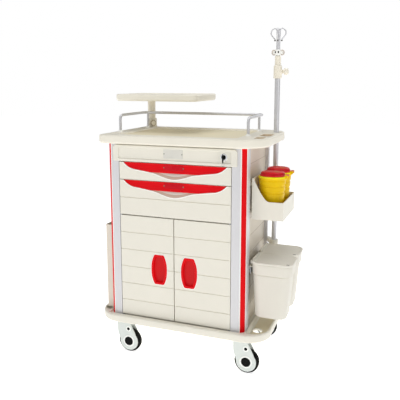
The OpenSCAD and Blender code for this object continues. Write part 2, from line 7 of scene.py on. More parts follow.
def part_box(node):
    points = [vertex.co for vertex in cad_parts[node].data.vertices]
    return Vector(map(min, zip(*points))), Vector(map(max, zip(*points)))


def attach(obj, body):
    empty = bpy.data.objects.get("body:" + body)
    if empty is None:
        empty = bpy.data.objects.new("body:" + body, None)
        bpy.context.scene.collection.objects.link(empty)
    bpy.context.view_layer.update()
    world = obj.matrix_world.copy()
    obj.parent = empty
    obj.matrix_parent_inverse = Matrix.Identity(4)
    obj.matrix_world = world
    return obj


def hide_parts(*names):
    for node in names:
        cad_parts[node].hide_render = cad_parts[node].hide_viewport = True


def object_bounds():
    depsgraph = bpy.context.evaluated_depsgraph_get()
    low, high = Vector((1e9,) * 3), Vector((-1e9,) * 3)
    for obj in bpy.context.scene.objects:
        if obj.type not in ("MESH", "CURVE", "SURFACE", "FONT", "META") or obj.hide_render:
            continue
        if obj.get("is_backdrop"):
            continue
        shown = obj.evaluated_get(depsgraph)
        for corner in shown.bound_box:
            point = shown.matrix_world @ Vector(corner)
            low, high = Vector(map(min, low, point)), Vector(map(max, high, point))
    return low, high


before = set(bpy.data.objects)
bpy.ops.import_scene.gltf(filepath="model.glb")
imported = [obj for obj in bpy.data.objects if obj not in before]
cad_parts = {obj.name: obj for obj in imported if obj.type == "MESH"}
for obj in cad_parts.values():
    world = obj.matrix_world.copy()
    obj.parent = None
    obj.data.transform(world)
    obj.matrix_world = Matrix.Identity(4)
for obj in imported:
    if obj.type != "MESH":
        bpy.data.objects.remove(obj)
cad_low, cad_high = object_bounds()

# The helpers take millimetres from the cabinet's front centre line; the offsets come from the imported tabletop.
_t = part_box("tabletop")
OX = _t[0].x * 1000 + 330.0
OY = _t[0].y * 1000 + 26.0


def W(p):
    return ((p[0] + OX) / 1000.0, (p[1] + OY) / 1000.0, p[2] / 1000.0)


# ------------------------------------------------------------------ materials
def srgb(r, g, b):
    def f(c):
        c = c / 255.0
        return c / 12.92 if c <= 0.04045 else ((c + 0.055) / 1.055) ** 2.4
    return (f(r), f(g), f(b), 1.0)


def material(name, rgb, rough=0.4, metal=0.0, vary=0.03, vary_scale=9.0, grain=700.0, bump=0.05, stretch=(1, 1, 1),
             rough_var=0.06, coat=0.0, coat_rough=0.1, spec=0.5, tint=None, dust=0.0, sss=0.0, aniso=0.0):
    m = bpy.data.materials.new(name)
    m.use_nodes = True
    nt = m.node_tree
    nd, ln = nt.nodes, nt.links
    for n in list(nd):
        nd.remove(n)
    out = nd.new("ShaderNodeOutputMaterial")
    bs = nd.new("ShaderNodeBsdfPrincipled")
    ln.new(bs.outputs[0], out.inputs[0])
    bs.inputs["Metallic"].default_value = metal
    bs.inputs["Specular IOR Level"].default_value = spec
    bs.inputs["Coat Weight"].default_value = coat
    bs.inputs["Coat Roughness"].default_value = coat_rough
    if sss:
        bs.inputs["Subsurface Weight"].default_value = sss
        bs.inputs["Subsurface Scale"].default_value = 0.004
    if aniso:
        bs.inputs["Anisotropic"].default_value = aniso
    tc = nd.new("ShaderNodeTexCoord")
    mp = nd.new("ShaderNodeMapping")
    mp.inputs["Scale"].default_value = stretch
    ln.new(tc.outputs["Object"], mp.inputs["Vector"])
    n1 = nd.new("ShaderNodeTexNoise")
    n1.inputs["Scale"].default_value = vary_scale
    n1.inputs["Detail"].default_value = 5.0
    n1.inputs["Roughness"].default_value = 0.6
    ln.new(tc.outputs["Object"], n1.inputs["Vector"])
    ramp = nd.new("ShaderNodeValToRGB")
    c = srgb(*rgb)
    lo = tuple(min(1, x * (1 - vary)) for x in c[:3]) + (1,)
    hi = tuple(min(1, x * (1 + vary)) for x in c[:3]) + (1,)
    if tint:
        lo = srgb(*tint)
    ramp.color_ramp.elements[0].position = 0.32
    ramp.color_ramp.elements[0].color = lo
    ramp.color_ramp.elements[1].position = 0.68
    ramp.color_ramp.elements[1].color = hi
    ln.new(n1.outputs["Fac"], ramp.inputs["Fac"])
    col = ramp.outputs["Color"]
    n2 = nd.new("ShaderNodeTexNoise")
    n2.inputs["Scale"].default_value = grain
    n2.inputs["Detail"].default_value = 3.0
    ln.new(mp.outputs["Vector"], n2.inputs["Vector"])
    # fine speckle or brushing in the colour
    mx = nd.new("ShaderNodeMix")
    mx.data_type = "RGBA"
    mx.blend_type = "MULTIPLY"
    mx.inputs[0].default_value = 1.0
    r2 = nd.new("ShaderNodeValToRGB")
    g = 1 - vary * 1.3
    r2.color_ramp.elements[0].position = 0.3
    r2.color_ramp.elements[0].color = (g, g, g, 1)
    r2.color_ramp.elements[1].position = 0.7
    r2.color_ramp.elements[1].color = (1, 1, 1, 1)
    ln.new(n2.outputs["Fac"], r2.inputs["Fac"])
    ln.new(col, mx.inputs[6])
    ln.new(r2.outputs["Color"], mx.inputs[7])
    col = mx.outputs[2]
    if dust:
        n3 = nd.new("ShaderNodeTexNoise")
        n3.inputs["Scale"].default_value = 55.0
        n3.inputs["Detail"].default_value = 8.0
        ln.new(tc.outputs["Object"], n3.inputs["Vector"])
        r3 = nd.new("ShaderNodeValToRGB")
        r3.color_ramp.elements[0].position = 0.5
        r3.color_ramp.elements[0].color = (0, 0, 0, 1)
        r3.color_ramp.elements[1].position = 0.8
        r3.color_ramp.elements[1].color = (dust, dust, dust, 1)
        ln.new(n3.outputs["Fac"], r3.inputs["Fac"])
        m3 = nd.new("ShaderNodeMix")
        m3.data_type = "RGBA"
        ln.new(r3.outputs["Color"], m3.inputs[0])
        ln.new(col, m3.inputs[6])
        m3.inputs[7].default_value = srgb(120, 116, 108)
        col = m3.outputs[2]
    ln.new(col, bs.inputs["Base Color"])
    mr = nd.new("ShaderNodeMapRange")
    mr.inputs["From Min"].default_value = 0.3
    mr.inputs["From Max"].default_value = 0.7
    mr.inputs["To Min"].default_value = max(0.03, rough - rough_var)
    mr.inputs["To Max"].default_value = min(1.0, rough + rough_var)
    ln.new(n1.outputs["Fac"], mr.inputs["Value"])
    ln.new(mr.outputs["Result"], bs.inputs["Roughness"])
    if bump:
        bp = nd.new("ShaderNodeBump")
        bp.inputs["Strength"].default_value = bump
        bp.inputs["Distance"].default_value = 0.0004
        ln.new(n2.outputs["Fac"], bp.inputs["Height"])
        ln.new(bp.outputs["Normal"], bs.inputs["Normal"])
    return m


CREAM = material("cream_abs", (235, 231, 218), 0.42, bump=0.10, grain=900, vary=0.012)
CREAM_TOP = material("cream_top", (239, 234, 219), 0.38, bump=0.10, grain=850, vary=0.015)
# darker tan of the recessed floors: painted shade
RECESS_SHADOW = material("recess_floor_painted_shade", (236, 226, 196), 0.46, bump=0.14, grain=700, vary=0.025)
# darker tan for the finger scoop's lower rim: painted shade and a painted reflection of the red pull
SCOOP_SHADOW_AND_REFLECTION = material("scoop_painted_shade_and_reflection", (212, 184, 164), 0.46, bump=0.10, grain=700, vary=0.02)
BIN = material("bin_abs", (228, 224, 212), 0.45, bump=0.12, grain=800, vary=0.015)
# near-white: the real white of the collars, and painted highlight on the pull beads, column groove lips and cup seal
# rings
WHITE_AND_HIGHLIGHT = material("white_plastic_and_painted_highlight", (252, 252, 247), 0.30, bump=0.04, grain=900, vary=0.006)
# darker copy of the cream for panels, drawer boxes and the file box: painted shade
CREAM_IN_SHADOW = material("shade_abs", (231, 222, 207), 0.50, bump=0.16, grain=650, vary=0.025)
ALU = material("anodised_aluminium", (216, 215, 217), 0.40, metal=0.2, stretch=(1, 1, 0.03), grain=900, bump=0.05, vary=0.02, vary_scale=5)
STRIP = material("red_strip", (230, 0, 12), 0.42, vary=0.03, bump=0.03, grain=500, spec=0.10)
RED = material("red_abs", (228, 3, 18), 0.38, vary=0.04, bump=0.06, grain=800, spec=0.14)
# darker red for the cup's inner floor: painted shade in the recess
RED_RECESS_SHADOW = material("red_recess_painted_shade", (214, 4, 16), 0.42, vary=0.05, bump=0.10, grain=700, spec=0.2)
LABEL = material("label_window", (206, 14, 32), 0.28, vary=0.04, bump=0.02, grain=500, spec=0.22)
RED_LID = material("red_lid", (222, 0, 20), 0.34, vary=0.05, bump=0.06, grain=700, spec=0.3)
# darker red for the lid's side band: painted shade
LID_BAND_SHADOW = material("red_lid_painted_shade_band", (196, 0, 20), 0.40, vary=0.05, bump=0.06, grain=700, spec=0.25)
AMBER = material("amber_port", (214, 112, 10), 0.40, vary=0.06, bump=0.06, grain=700)
YELLOW = material("yellow_pp", (240, 198, 0), 0.42, vary=0.03, bump=0.12, grain=600, spec=0.18)
YELLOW_RIM = material("yellow_rim", (252, 236, 8), 0.34, vary=0.02, bump=0.06, grain=600, spec=0.35)
CHROME = material("polished_steel", (212, 212, 215), 0.34, metal=0.45, vary=0.012, bump=0.0, stretch=(1, 1, 0.1), grain=900)
TIP = material("hook_tip", (112, 110, 106), 0.40, metal=0.4, vary=0.03, bump=0.02, grain=700)
# pinkish tan for the collar ears' rims: painted shade
EAR_RIM_SHADOW = material("collar_ear_painted_shade", (206, 192, 180), 0.44, vary=0.02, bump=0.04, grain=700)
# darker strips standing for the side-panel grooves: painted shade
PANEL_LINE_SHADOW = material("groove_line_painted_shade", (186, 172, 150), 0.55, vary=0.02, bump=0.0, grain=700)
# darker tan for the knob's flank: painted shade
KNOB_FLANK_SHADOW = material("knob_flank_painted_shade", (188, 172, 142), 0.46, vary=0.03, bump=0.06, grain=700)
# darker tan inside the tabletop's hand slots: painted shade
SLOT_SHADOW = material("slot_painted_shade", (204, 186, 156), 0.48, vary=0.02, bump=0.06, grain=700)
SATIN = material("satin_chrome", (240, 241, 243), 0.26, metal=0.35, vary=0.02, bump=0.03, grain=900)
STEEL = material("plated_steel", (188, 190, 194), 0.32, metal=0.9, vary=0.05, bump=0.06, grain=800)
SCREW = material("screw_steel", (128, 130, 112), 0.34, metal=0.7, vary=0.08, bump=0.08, grain=900)
PLATE = material("label_plate", (222, 220, 211), 0.40, metal=0.2, stretch=(0.06, 1, 1), grain=900, bump=0.08, vary=0.04)
GREY = material("caster_grey", (222, 228, 224), 0.38, vary=0.03, bump=0.10, grain=650)
WHITE = material("caster_white", (250, 252, 248), 0.34, vary=0.01, bump=0.05, grain=650)
# black for the two holes in the bottle collar: painted shade
HOLE_SHADOW = material("collar_hole_painted_shade", (12, 12, 13), 0.40, vary=0.2, bump=0.14, grain=700, spec=0.15)
TYRE = material("black_rubber", (6, 6, 7), 0.62, vary=0.2, bump=0.3, grain=450, dust=0.05, spec=0.12)
HUBDARK = material("hub_dark", (9, 10, 11), 0.48, vary=0.15, bump=0.12, grain=700, spec=0.10)
KNOB = material("cream_knob", (244, 237, 220), 0.42, vary=0.008, bump=0.0, grain=300)


# ------------------------------------------------------------------ mesh helpers
def arc(cx, cy, r, a0, a1, n):
    return [(cx + r * math.cos(math.radians(a0 + (a1 - a0) * i / n)), cy + r * math.sin(math.radians(a0 + (a1 - a0) * i / n))) for i in range(n + 1)]


def rr4(x0, x1, y0, y1, r, n=10):
    r = [max(0.3, q) for q in r]
    return (arc(x0 + r[0], y0 + r[0], r[0], 180, 270, n) + arc(x1 - r[1], y0 + r[1], r[1], 270, 360, n)
            + arc(x1 - r[2], y1 - r[2], r[2], 0, 90, n) + arc(x0 + r[3], y1 - r[3], r[3], 90, 180, n))


def box4(x0, x1, y0, y1, r, n=8):
    r = [r] * 4 if not isinstance(r, (list, tuple)) else r
    return lambda o: rr4(x0 + o, x1 - o, y0 + o, y1 - o, [q - o for q in r], n)


def circle(cx, cy, r, n=48):
    return lambda o: [(cx + (r - o) * math.cos(2 * math.pi * i / n), cy + (r - o) * math.sin(2 * math.pi * i / n)) for i in range(n)]


def offset(pts, d, closed=True):
    """Offset of a counter-clockwise outline; positive d goes outward."""
    n, res = len(pts), []
    for i in range(n):
        a = pts[i - 1] if (closed or i > 0) else pts[i]
        b = pts[(i + 1) % n] if (closed or i < n - 1) else pts[i]
        tx, ty = b[0] - a[0], b[1] - a[1]
        l = math.hypot(tx, ty) or 1.0
        res.append((pts[i][0] + ty / l * d, pts[i][1] - tx / l * d))
    return res


def chaikin(pts, k=3):
    for _ in range(k):
        q = []
        for i in range(len(pts)):
            a, b = pts[i], pts[(i + 1) % len(pts)]
            q += [(a[0] * .75 + b[0] * .25, a[1] * .75 + b[1] * .25), (a[0] * .25 + b[0] * .75, a[1] * .25 + b[1] * .75)]
        pts = q
    return pts


def rnd(h0, h1, r0, r1, n=4):
    """(inset, height) steps of a side wall with rounded lower and upper edges."""
    s = []
    if r0:
        for i in range(n + 1):
            a = math.pi / 2 * i / n
            s.append((r0 * (1 - math.sin(a)), h0 + r0 * (1 - math.cos(a))))
    else:
        s.append((0, h0))
    if r1:
        for i in range(n + 1):
            a = math.pi / 2 * i / n
            s.append((r1 * (1 - math.cos(a)), h1 - r1 + r1 * math.sin(a)))
    else:
        s.append((0, h1))
    return s


class Mesh:
    def __init__(self):
        self.v, self.f, self.m, self.cur = [], [], [], 0

    def ring(self, pts):
        i = len(self.v)
        self.v += [tuple(p) for p in pts]
        return list(range(i, i + len(pts)))

    def face(self, ids):
        self.f.append(tuple(ids))
        self.m.append(self.cur)

    def strip(self, a, b, closed=True):
        n = len(a)
        for i in range(n if closed else n - 1):
            j = (i + 1) % n
            self.face((a[i], a[j], b[j], b[i]))

    def loft(self, rings, closed=True, cap0=False, cap1=False):
        ids = [self.ring(r) for r in rings]
        for a, b in zip(ids, ids[1:]):
            self.strip(a, b, closed)
        if cap0:
            self.face(ids[0])
        if cap1:
            self.face(ids[-1])
        return ids

    def fill(self, *loops):
        flat = [i for l in loops for i in l]
        tris = tessellate_polygon([[Vector(self.v[i]) for i in l] for l in loops])
        for t in tris:
            self.face([flat[i] for i in t])

    def stack(self, fn, steps, axis="z", cap0=True, cap1=True):
        rings = []
        for o, h in steps:
            pts = fn(o)
            rings.append([at(axis, p[0], p[1], h) for p in pts])
        return self.loft(rings, True, cap0, cap1)

    def lathe(self, prof, c, axis="z", n=48, closed=False, a0=0.0):
        rings = []
        for r, h in prof:
            rings.append([at(axis, c[0] + r * math.cos(2 * math.pi * i / n + a0), c[1] + r * math.sin(2 * math.pi * i / n + a0), c[2] + h) for i in range(n)])
        ids = self.loft(rings)
        if closed:
            self.strip(ids[-1], ids[0])
        else:
            self.face(ids[0])
            self.face(ids[-1])
        return ids

    def tube(self, path, r, n=16, caps=True, rs=None):
        P = [Vector(p) for p in path]
        t0 = (P[1] - P[0]).normalized()
        u = t0.orthogonal().normalized()
        rings = []
        for i, p in enumerate(P):
            t = (P[min(i + 1, len(P) - 1)] - P[max(i - 1, 0)]).normalized()
            u = (u - t * u.dot(t)).normalized()
            w = t.cross(u)
            q = rs[i] if rs else r
            rings.append([p + (u * math.cos(2 * math.pi * k / n) + w * math.sin(2 * math.pi * k / n)) * q for k in range(n)])
        self.loft(rings, True, caps, caps)


def at(axis, u, v, w):
    return (u, v, w) if axis == "z" else (u, w, v) if axis == "y" else (w, u, v)


def scratch(m):
    """A plain object of a Mesh, used as a boolean cutter."""
    me = bpy.data.meshes.new("cutter")
    me.from_pydata([W(p) for p in m.v], [], m.f)
    clean(me)
    ob = bpy.data.objects.new("cutter", me)
    bpy.context.scene.collection.objects.link(ob)
    return ob


def clean(me):
    bm = bmesh.new()
    bm.from_mesh(me)
    bmesh.ops.remove_doubles(bm, verts=bm.verts, dist=2e-6)
    bmesh.ops.dissolve_degenerate(bm, edges=bm.edges, dist=1e-6)
    bmesh.ops.recalc_face_normals(bm, faces=bm.faces)
    bm.to_mesh(me)
    bm.free()
    me.update()


def piece(name, m, mats, body, rep=(), bevel=0.0, seg=3, ang=40, smooth=34, cutters=(), join=(), mirror=None):
    me = bpy.data.meshes.new(name)
    v = m.v if mirror is None else [(-p[0], p[1], p[2]) for p in m.v]
    me.from_pydata([W(p) for p in v], [], m.f)
    mats = mats if isinstance(mats, (list, tuple)) else [mats]
    for q in mats:
        me.materials.append(q)
    me.polygons.foreach_set("material_index", m.m)
    clean(me)
    ob = bpy.data.objects.new(name, me)
    bpy.context.scene.collection.objects.link(ob)
    if cutters or join:
        extra = []
        for op, group in (("UNION", join), ("DIFFERENCE", cutters)):
            for c in group:
                co = scratch(c)
                if mirror is not None:
                    co.data.transform(Matrix.Translation((2 * OX / 1000, 0, 0)) @ Matrix.Scale(-1, 4, (1, 0, 0)))
                    clean(co.data)
                extra.append(co)
                md = ob.modifiers.new("b", "BOOLEAN")
                md.operation, md.solver, md.object = op, "EXACT", co
                if hasattr(md, "material_mode"):
                    md.material_mode = "INDEX"
        bpy.context.view_layer.update()
        dg = bpy.context.evaluated_depsgraph_get()
        nm = bpy.data.meshes.new_from_object(ob.evaluated_get(dg))
        ob.modifiers.clear()
        ob.data = nm
        nm.name = name
        for c in extra:
            bpy.data.objects.remove(c)
        bm = bmesh.new()
        bm.from_mesh(nm)
        bmesh.ops.remove_doubles(bm, verts=bm.verts, dist=2e-6)
        bmesh.ops.dissolve_limit(bm, angle_limit=math.radians(0.6), verts=bm.verts, edges=bm.edges, delimit={"MATERIAL"})
        bm.to_mesh(nm)
        bm.free()
        me = nm
    for p in me.polygons:
        p.use_smooth = True
    me.set_sharp_from_angle(angle=math.radians(smooth))
    if bevel:
        b = ob.modifiers.new("soft_edges", "BEVEL")
        b.width, b.segments, b.limit_method, b.angle_limit = bevel / 1000.0, seg, "ANGLE", math.radians(ang)
        b.miter_outer = "MITER_ARC"
        b.use_clamp_overlap = True
    w = ob.modifiers.new("weighted", "WEIGHTED_NORMAL")
    w.keep_sharp = True
    w.weight = 60
    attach(ob, body)
    if rep:
        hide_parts(*rep)
    return ob


def keep(node, mat, bevel=0.5, seg=2):
    """A CAD node whose shape is right: a procedural material and softened edges."""
    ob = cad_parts[node]
    if not ob.data.materials:
        ob.data.materials.append(mat)
    for s in ob.material_slots:
        s.material = mat
    w = ob.modifiers.new("weld", "WELD")
    w.merge_threshold = 1e-6
    d = ob.modifiers.new("flat", "DECIMATE")
    d.decimate_type, d.angle_limit = "DISSOLVE", math.radians(1.0)
    if bevel:
        b = ob.modifiers.new("soft_edges", "BEVEL")
        b.width, b.segments, b.limit_method, b.angle_limit = bevel / 1000.0, seg, "ANGLE", math.radians(40)
        b.use_clamp_overlap = True
    for p in ob.data.polygons:
        p.use_smooth = False
    return ob


# ------------------------------------------------------------------ sizes read from the CAD frame (mm)
CW, CD = 300.0, 428.0            # half width and depth of the cabinet
Z0, MOD = 182.0, 74.0
ZL = [Z0 + MOD * i for i in range(11)]
TOPZ, DECK = 922.0, 957.0
OPEN = 242.0


# ------------------------------------------------------------------ base tray
def rect_cut(x0, x1, y0, y1, r, steps, n=10):
    m = Mesh()
    m.stack(box4(x0, x1, y0, y1, r, n), steps)
    return m


m = Mesh()
m.stack(box4(-355, 392, -25, 453, 95, 16), rnd(155, 188, 8, 6, 5))
draft = lambda z0, z1: [(7, z0), (4.2, z0 + 0.9), (2.2, z0 + 3), (1, z0 + 7), (0, z1 - 6), (-1.4, z1 - 2.5), (-4.5, z1), (-6, z1 + 3)]
cut = [rect_cut(-302, 302, -7, 435, 1, [(0, 182), (0, 200)]),
       rect_cut(-343, -310, 24, 404, [26, 5, 5, 26], [(3, 165), (1, 167.5), (0, 172), (0, 182), (-1.4, 186), (-4.5, 188.2), (-6, 191)]),
       rect_cut(306, 380, 2, 426, [8, 62, 62, 8], [(7, 165), (4.2, 166), (2.2, 168.5), (0.6, 173), (0, 181), (-1.4, 185.5), (-4.5, 188.2), (-6, 191)], 16),
       rect_cut(-212, 230, 16, 412, 20, [(4, 150), (0, 154), (2, 164), (5, 166)])]
h = Mesh(); h.lathe([(21, -3), (19.6, 4), (19, 6), (19, 9.4), (20.2, 11), (22, 12)], (333, 84, 154)); cut.append(h)
piece("base_tray_shell", m, CREAM, "cart", ["base_tray"], bevel=0.8, seg=2, ang=50, cutters=cut)
# the recessed floor of the bin end, a darker tan as painted shade in the recess, with a coarser bump for the textured
# mould
m = Mesh()
o = box4(306, 380, 2, 426, [8, 62, 62, 8], 16)(7.4)
a = m.ring([(p[0], p[1], 165.5) for p in o]); b = m.ring([(p[0], p[1], 164.9) for p in o])
c = circle(333, 84, 21, 48)(0)
e = m.ring([(p[0], p[1], 165.5) for p in c]); g = m.ring([(p[0], p[1], 164.9) for p in c])
m.fill(a, e); m.fill(b, g); m.strip(a, b); m.strip(e, g)
piece("base_tray_recess_painted_shade", m, RECESS_SHADOW, "cart", bevel=0.0)


# ------------------------------------------------------------------ columns and red strips
def col_pts(groove):
    R = 40.0
    p = [(58, 0), (58, 58), (0, 58)]
    if not groove:
        return p + arc(R, R, R, 180, 270, 26)
    q = arc(R, R, R, 180, 200.4, 7) + [polar(R, R + .5, 201.2), polar(R, R + .9, 203.6), polar(R, R + .6, 206.0)]
    q += arc(R, R, R - 2, 206.4, 240.2, 12)
    q += [polar(R, R + .6, 240.6), polar(R, R + .9, 243.0), polar(R, R + .5, 245.4)] + arc(R, R, R, 246.2, 270, 8)
    return p + q


def polar(c, r, a):
    return (c + r * math.cos(math.radians(a)), c + r * math.sin(math.radians(a)))


def place_col(p, sx, sy):
    x = -CW + p[0] if sx < 0 else CW - p[0]
    y = p[1] if sy < 0 else CD - p[1]
    return x, y


for nm, sx, sy in (("front_left", -1, -1), ("front_right", 1, -1), ("rear_left", -1, 1), ("rear_right", 1, 1)):
    m = Mesh()
    outer = [place_col(p, sx, sy) for p in col_pts(sy < 0)]
    inner = [place_col(p, sx, sy) for p in [(55, 4.5), (55, 55), (4.5, 55)] + arc(40, 40, 35.5, 180, 270, 14)]
    ids = m.loft([[(p[0], p[1], z) for p in outer] for z in (182.0, 921.8)])
    if sy < 0:
        loc = col_pts(True)
        # faces at the lips of the strip groove take the near-white: a painted highlight
        for i in range(len(loc)):
            u, v = [(loc[i][k] + loc[(i + 1) % len(loc)][k]) / 2 - 40.0 for k in (0, 1)]
            ang_ = math.degrees(math.atan2(v, u)) % 360
            if 200.4 < ang_ < 206.3 or 240.3 < ang_ < 246.3:
                m.m[i] = 1
    idi = m.loft([[(p[0], p[1], z) for p in inner] for z in (182.0, 921.8)])
    m.fill(ids[0], idi[0]); m.fill(ids[1], idi[1])
    piece("column_" + nm + "_extrusion", m, [ALU, WHITE_AND_HIGHLIGHT], "cart", ["column_" + nm], bevel=0.7, seg=2, ang=60, smooth=30)

for nm, sx in (("left", -1), ("right", 1)):
    m = Mesh()
    lo = [polar(40, 38.02, a) for a in [206.6 + 33.4 * i / 12 for i in range(13)]]
    hi = [polar(40, 40.9 - 0.9 * abs(i / 6 - 1) ** 4, 240.0 - 33.4 * i / 12) for i in range(13)]
    sec = [place_col(p, sx, -1) for p in lo + hi]
    m.loft([[(p[0], p[1], z) for p in sec] for z in (182.2, 921.6)], True, True, True)
    piece("red_strip_" + nm, m, STRIP, "cart", ["strip_" + nm], bevel=0.0, smooth=40)


# ------------------------------------------------------------------ header, label plate, lock
m = Mesh()
HD = lambda o: rr4(-264 + o, 264 - o, 851 + o, 917.6 - o, [3.2 - min(o, 2), 3.2 - min(o, 2), 16 - o, 16 - o], 8)
INS = lambda o: rr4(-240 + o, 240 - o, 862 + o, 907 - o, [5 - o] * 4, 8)
rings = [[at("y", p[0], p[1], y) for p in HD(o)] for o, y in ((0, -0.2), (0, -5.6), (0.4, -6.9), (1.2, -7.7), (2.4, -8.0))]
rings += [[at("y", p[0], p[1], y) for p in INS(o)] for o, y in ((-1.6, -8.0), (-0.8, -7.7), (-0.2, -6.9), (0.0, -5.6), (0.3, -4.5), (1.0, -4.0))]
ids = m.loft(rings)
m.face(ids[0])
m.fill(ids[-1])
back = Mesh(); back.stack(box4(-OPEN + 0.3, OPEN - 0.3, 849.6, 916.5, 0.5, 1), [(0, -0.4), (0, 8)], "y")
back2 = Mesh(); back2.stack(box4(-OPEN + 0.4, OPEN - 0.4, 860, 921.4, 0.5, 1), [(0, 3.5), (0, 7.9)], "y")
hole = Mesh(); hole.lathe([(9.3, -6), (9.3, 20)], (211, 886, -5), "y", 40)
piece("header_bezel", m, CREAM, "cart", ["header_panel"], bevel=0.0, smooth=40, join=[back, back2], cutters=[hole])

m = Mesh()
m.stack(box4(-40, 43, 870, 908, 2.5, 6), [(0, -3.9), (0, -4.9), (0.3, -5.3), (0.8, -5.5)], "y")
m.cur = 1
for x in (-36.6, 39.6):
    m.lathe([(2.3, 0), (2.3, -0.5), (1.9, -0.95), (1.0, -1.15)], (x, 888, -5.4), "y", 20)
    m.stack(lambda o, x=x: rr4(x - 1.7, x + 1.7, 887.7, 888.3, [.1] * 4, 1), [(0, -6.2), (0, -6.68)], "y")
piece("header_label_plate", m, [PLATE, SCREW], "cart", bevel=0.0, smooth=40)

keep("lock_cylinder", HUBDARK, 0.3)
m = Mesh()
m.lathe([(9.2, 0.2), (14.2, 0.2), (14.6, -0.8), (14.2, -2.0), (12.8, -2.9), (10.6, -3.3), (9.2, -3.1)], (211, 886, -4), "y", 56, closed=True)
piece("lock_rosette", m, SATIN, "cart", smooth=50)
m = Mesh()
# key: blade, shoulder and a bow pierced for its ring
m.stack(lambda o: rr4(882.5 + o, 889.5 - o, -13, 4, [.5] * 4, 2) if False else [(-13.5, 882.5 + o), (4, 882.5 + o), (4, 889.5 - o), (-13.5, 889.5 - o)], [(0.2, 210.1), (0, 210.3), (0, 211.7), (0.2, 211.9)], "x")
bow = [(-24.2, 876), (-24.2, 890), (-22, 897), (-17, 900.5), (-12.5, 897), (-10.8, 890), (-10.8, 876), (-13.5, 866), (-17.5, 863.4), (-21.8, 866)]
bow = chaikin(bow, 2)
ids = m.loft([[at("x", p[0], p[1], x) for p in offset(bow, -o)] for o, x in ((0.35, 209.9), (0, 210.3), (0, 211.7), (0.35, 212.1))])
hl = [(-17.5 + 2.5 * math.cos(2 * math.pi * i / 20), 870 + 2.5 * math.sin(2 * math.pi * i / 20)) for i in range(20)]
h0 = m.ring([at("x", p[0], p[1], 209.9) for p in hl]); h1 = m.ring([at("x", p[0], p[1], 212.1) for p in hl])
m.strip(h0, h1); m.fill(ids[0], h0); m.fill(ids[-1], h1)
ring = [(212 + 5.5 * math.sin(t), -17.5 - 2.0 * math.sin(t), 866.2 - 6.5 + 6.5 * math.cos(t)) for t in [2 * math.pi * i / 28 for i in range(28)]]
m.cur = 1
m.tube([ring[i] for i in range(28)] + [ring[0]], 0.75, 8, False)
piece("key_with_ring", m, [HUBDARK, STEEL], "lock", ["key"], bevel=0.0, smooth=35)


# ------------------------------------------------------------------ drawer fronts with their red pulls
def bez(p, c, q, t):
    return p * (1 - t) ** 2 + 2 * c * t * (1 - t) + q * t * t


def pull_edge(scooped):
    """Lower edge of the pull as (x, depth below the front's top), right to left."""
    half = [(bez(222, 200, 165, i / 14), bez(1, 27, 30, i / 14)) for i in range(15)]
    half += [(bez(165, 138, 107, i / 7), bez(30, 33, 38, i / 7)) for i in range(1, 8)]
    mid = []
    for i in range(1, 40):
        x = 107 - 214 * i / 40.0
        mid.append((x, 38 + 24 * math.cos(math.pi / 2 * x / 112) ** 2 if scooped else 38 + 0.8 * (1 - (x / 107) ** 2)))
    return half + mid + [(-x, d) for x, d in reversed(half)]


def ridge(x):
    return math.cos(math.pi * x / 216) ** 2 if abs(x) < 108 else 0.0


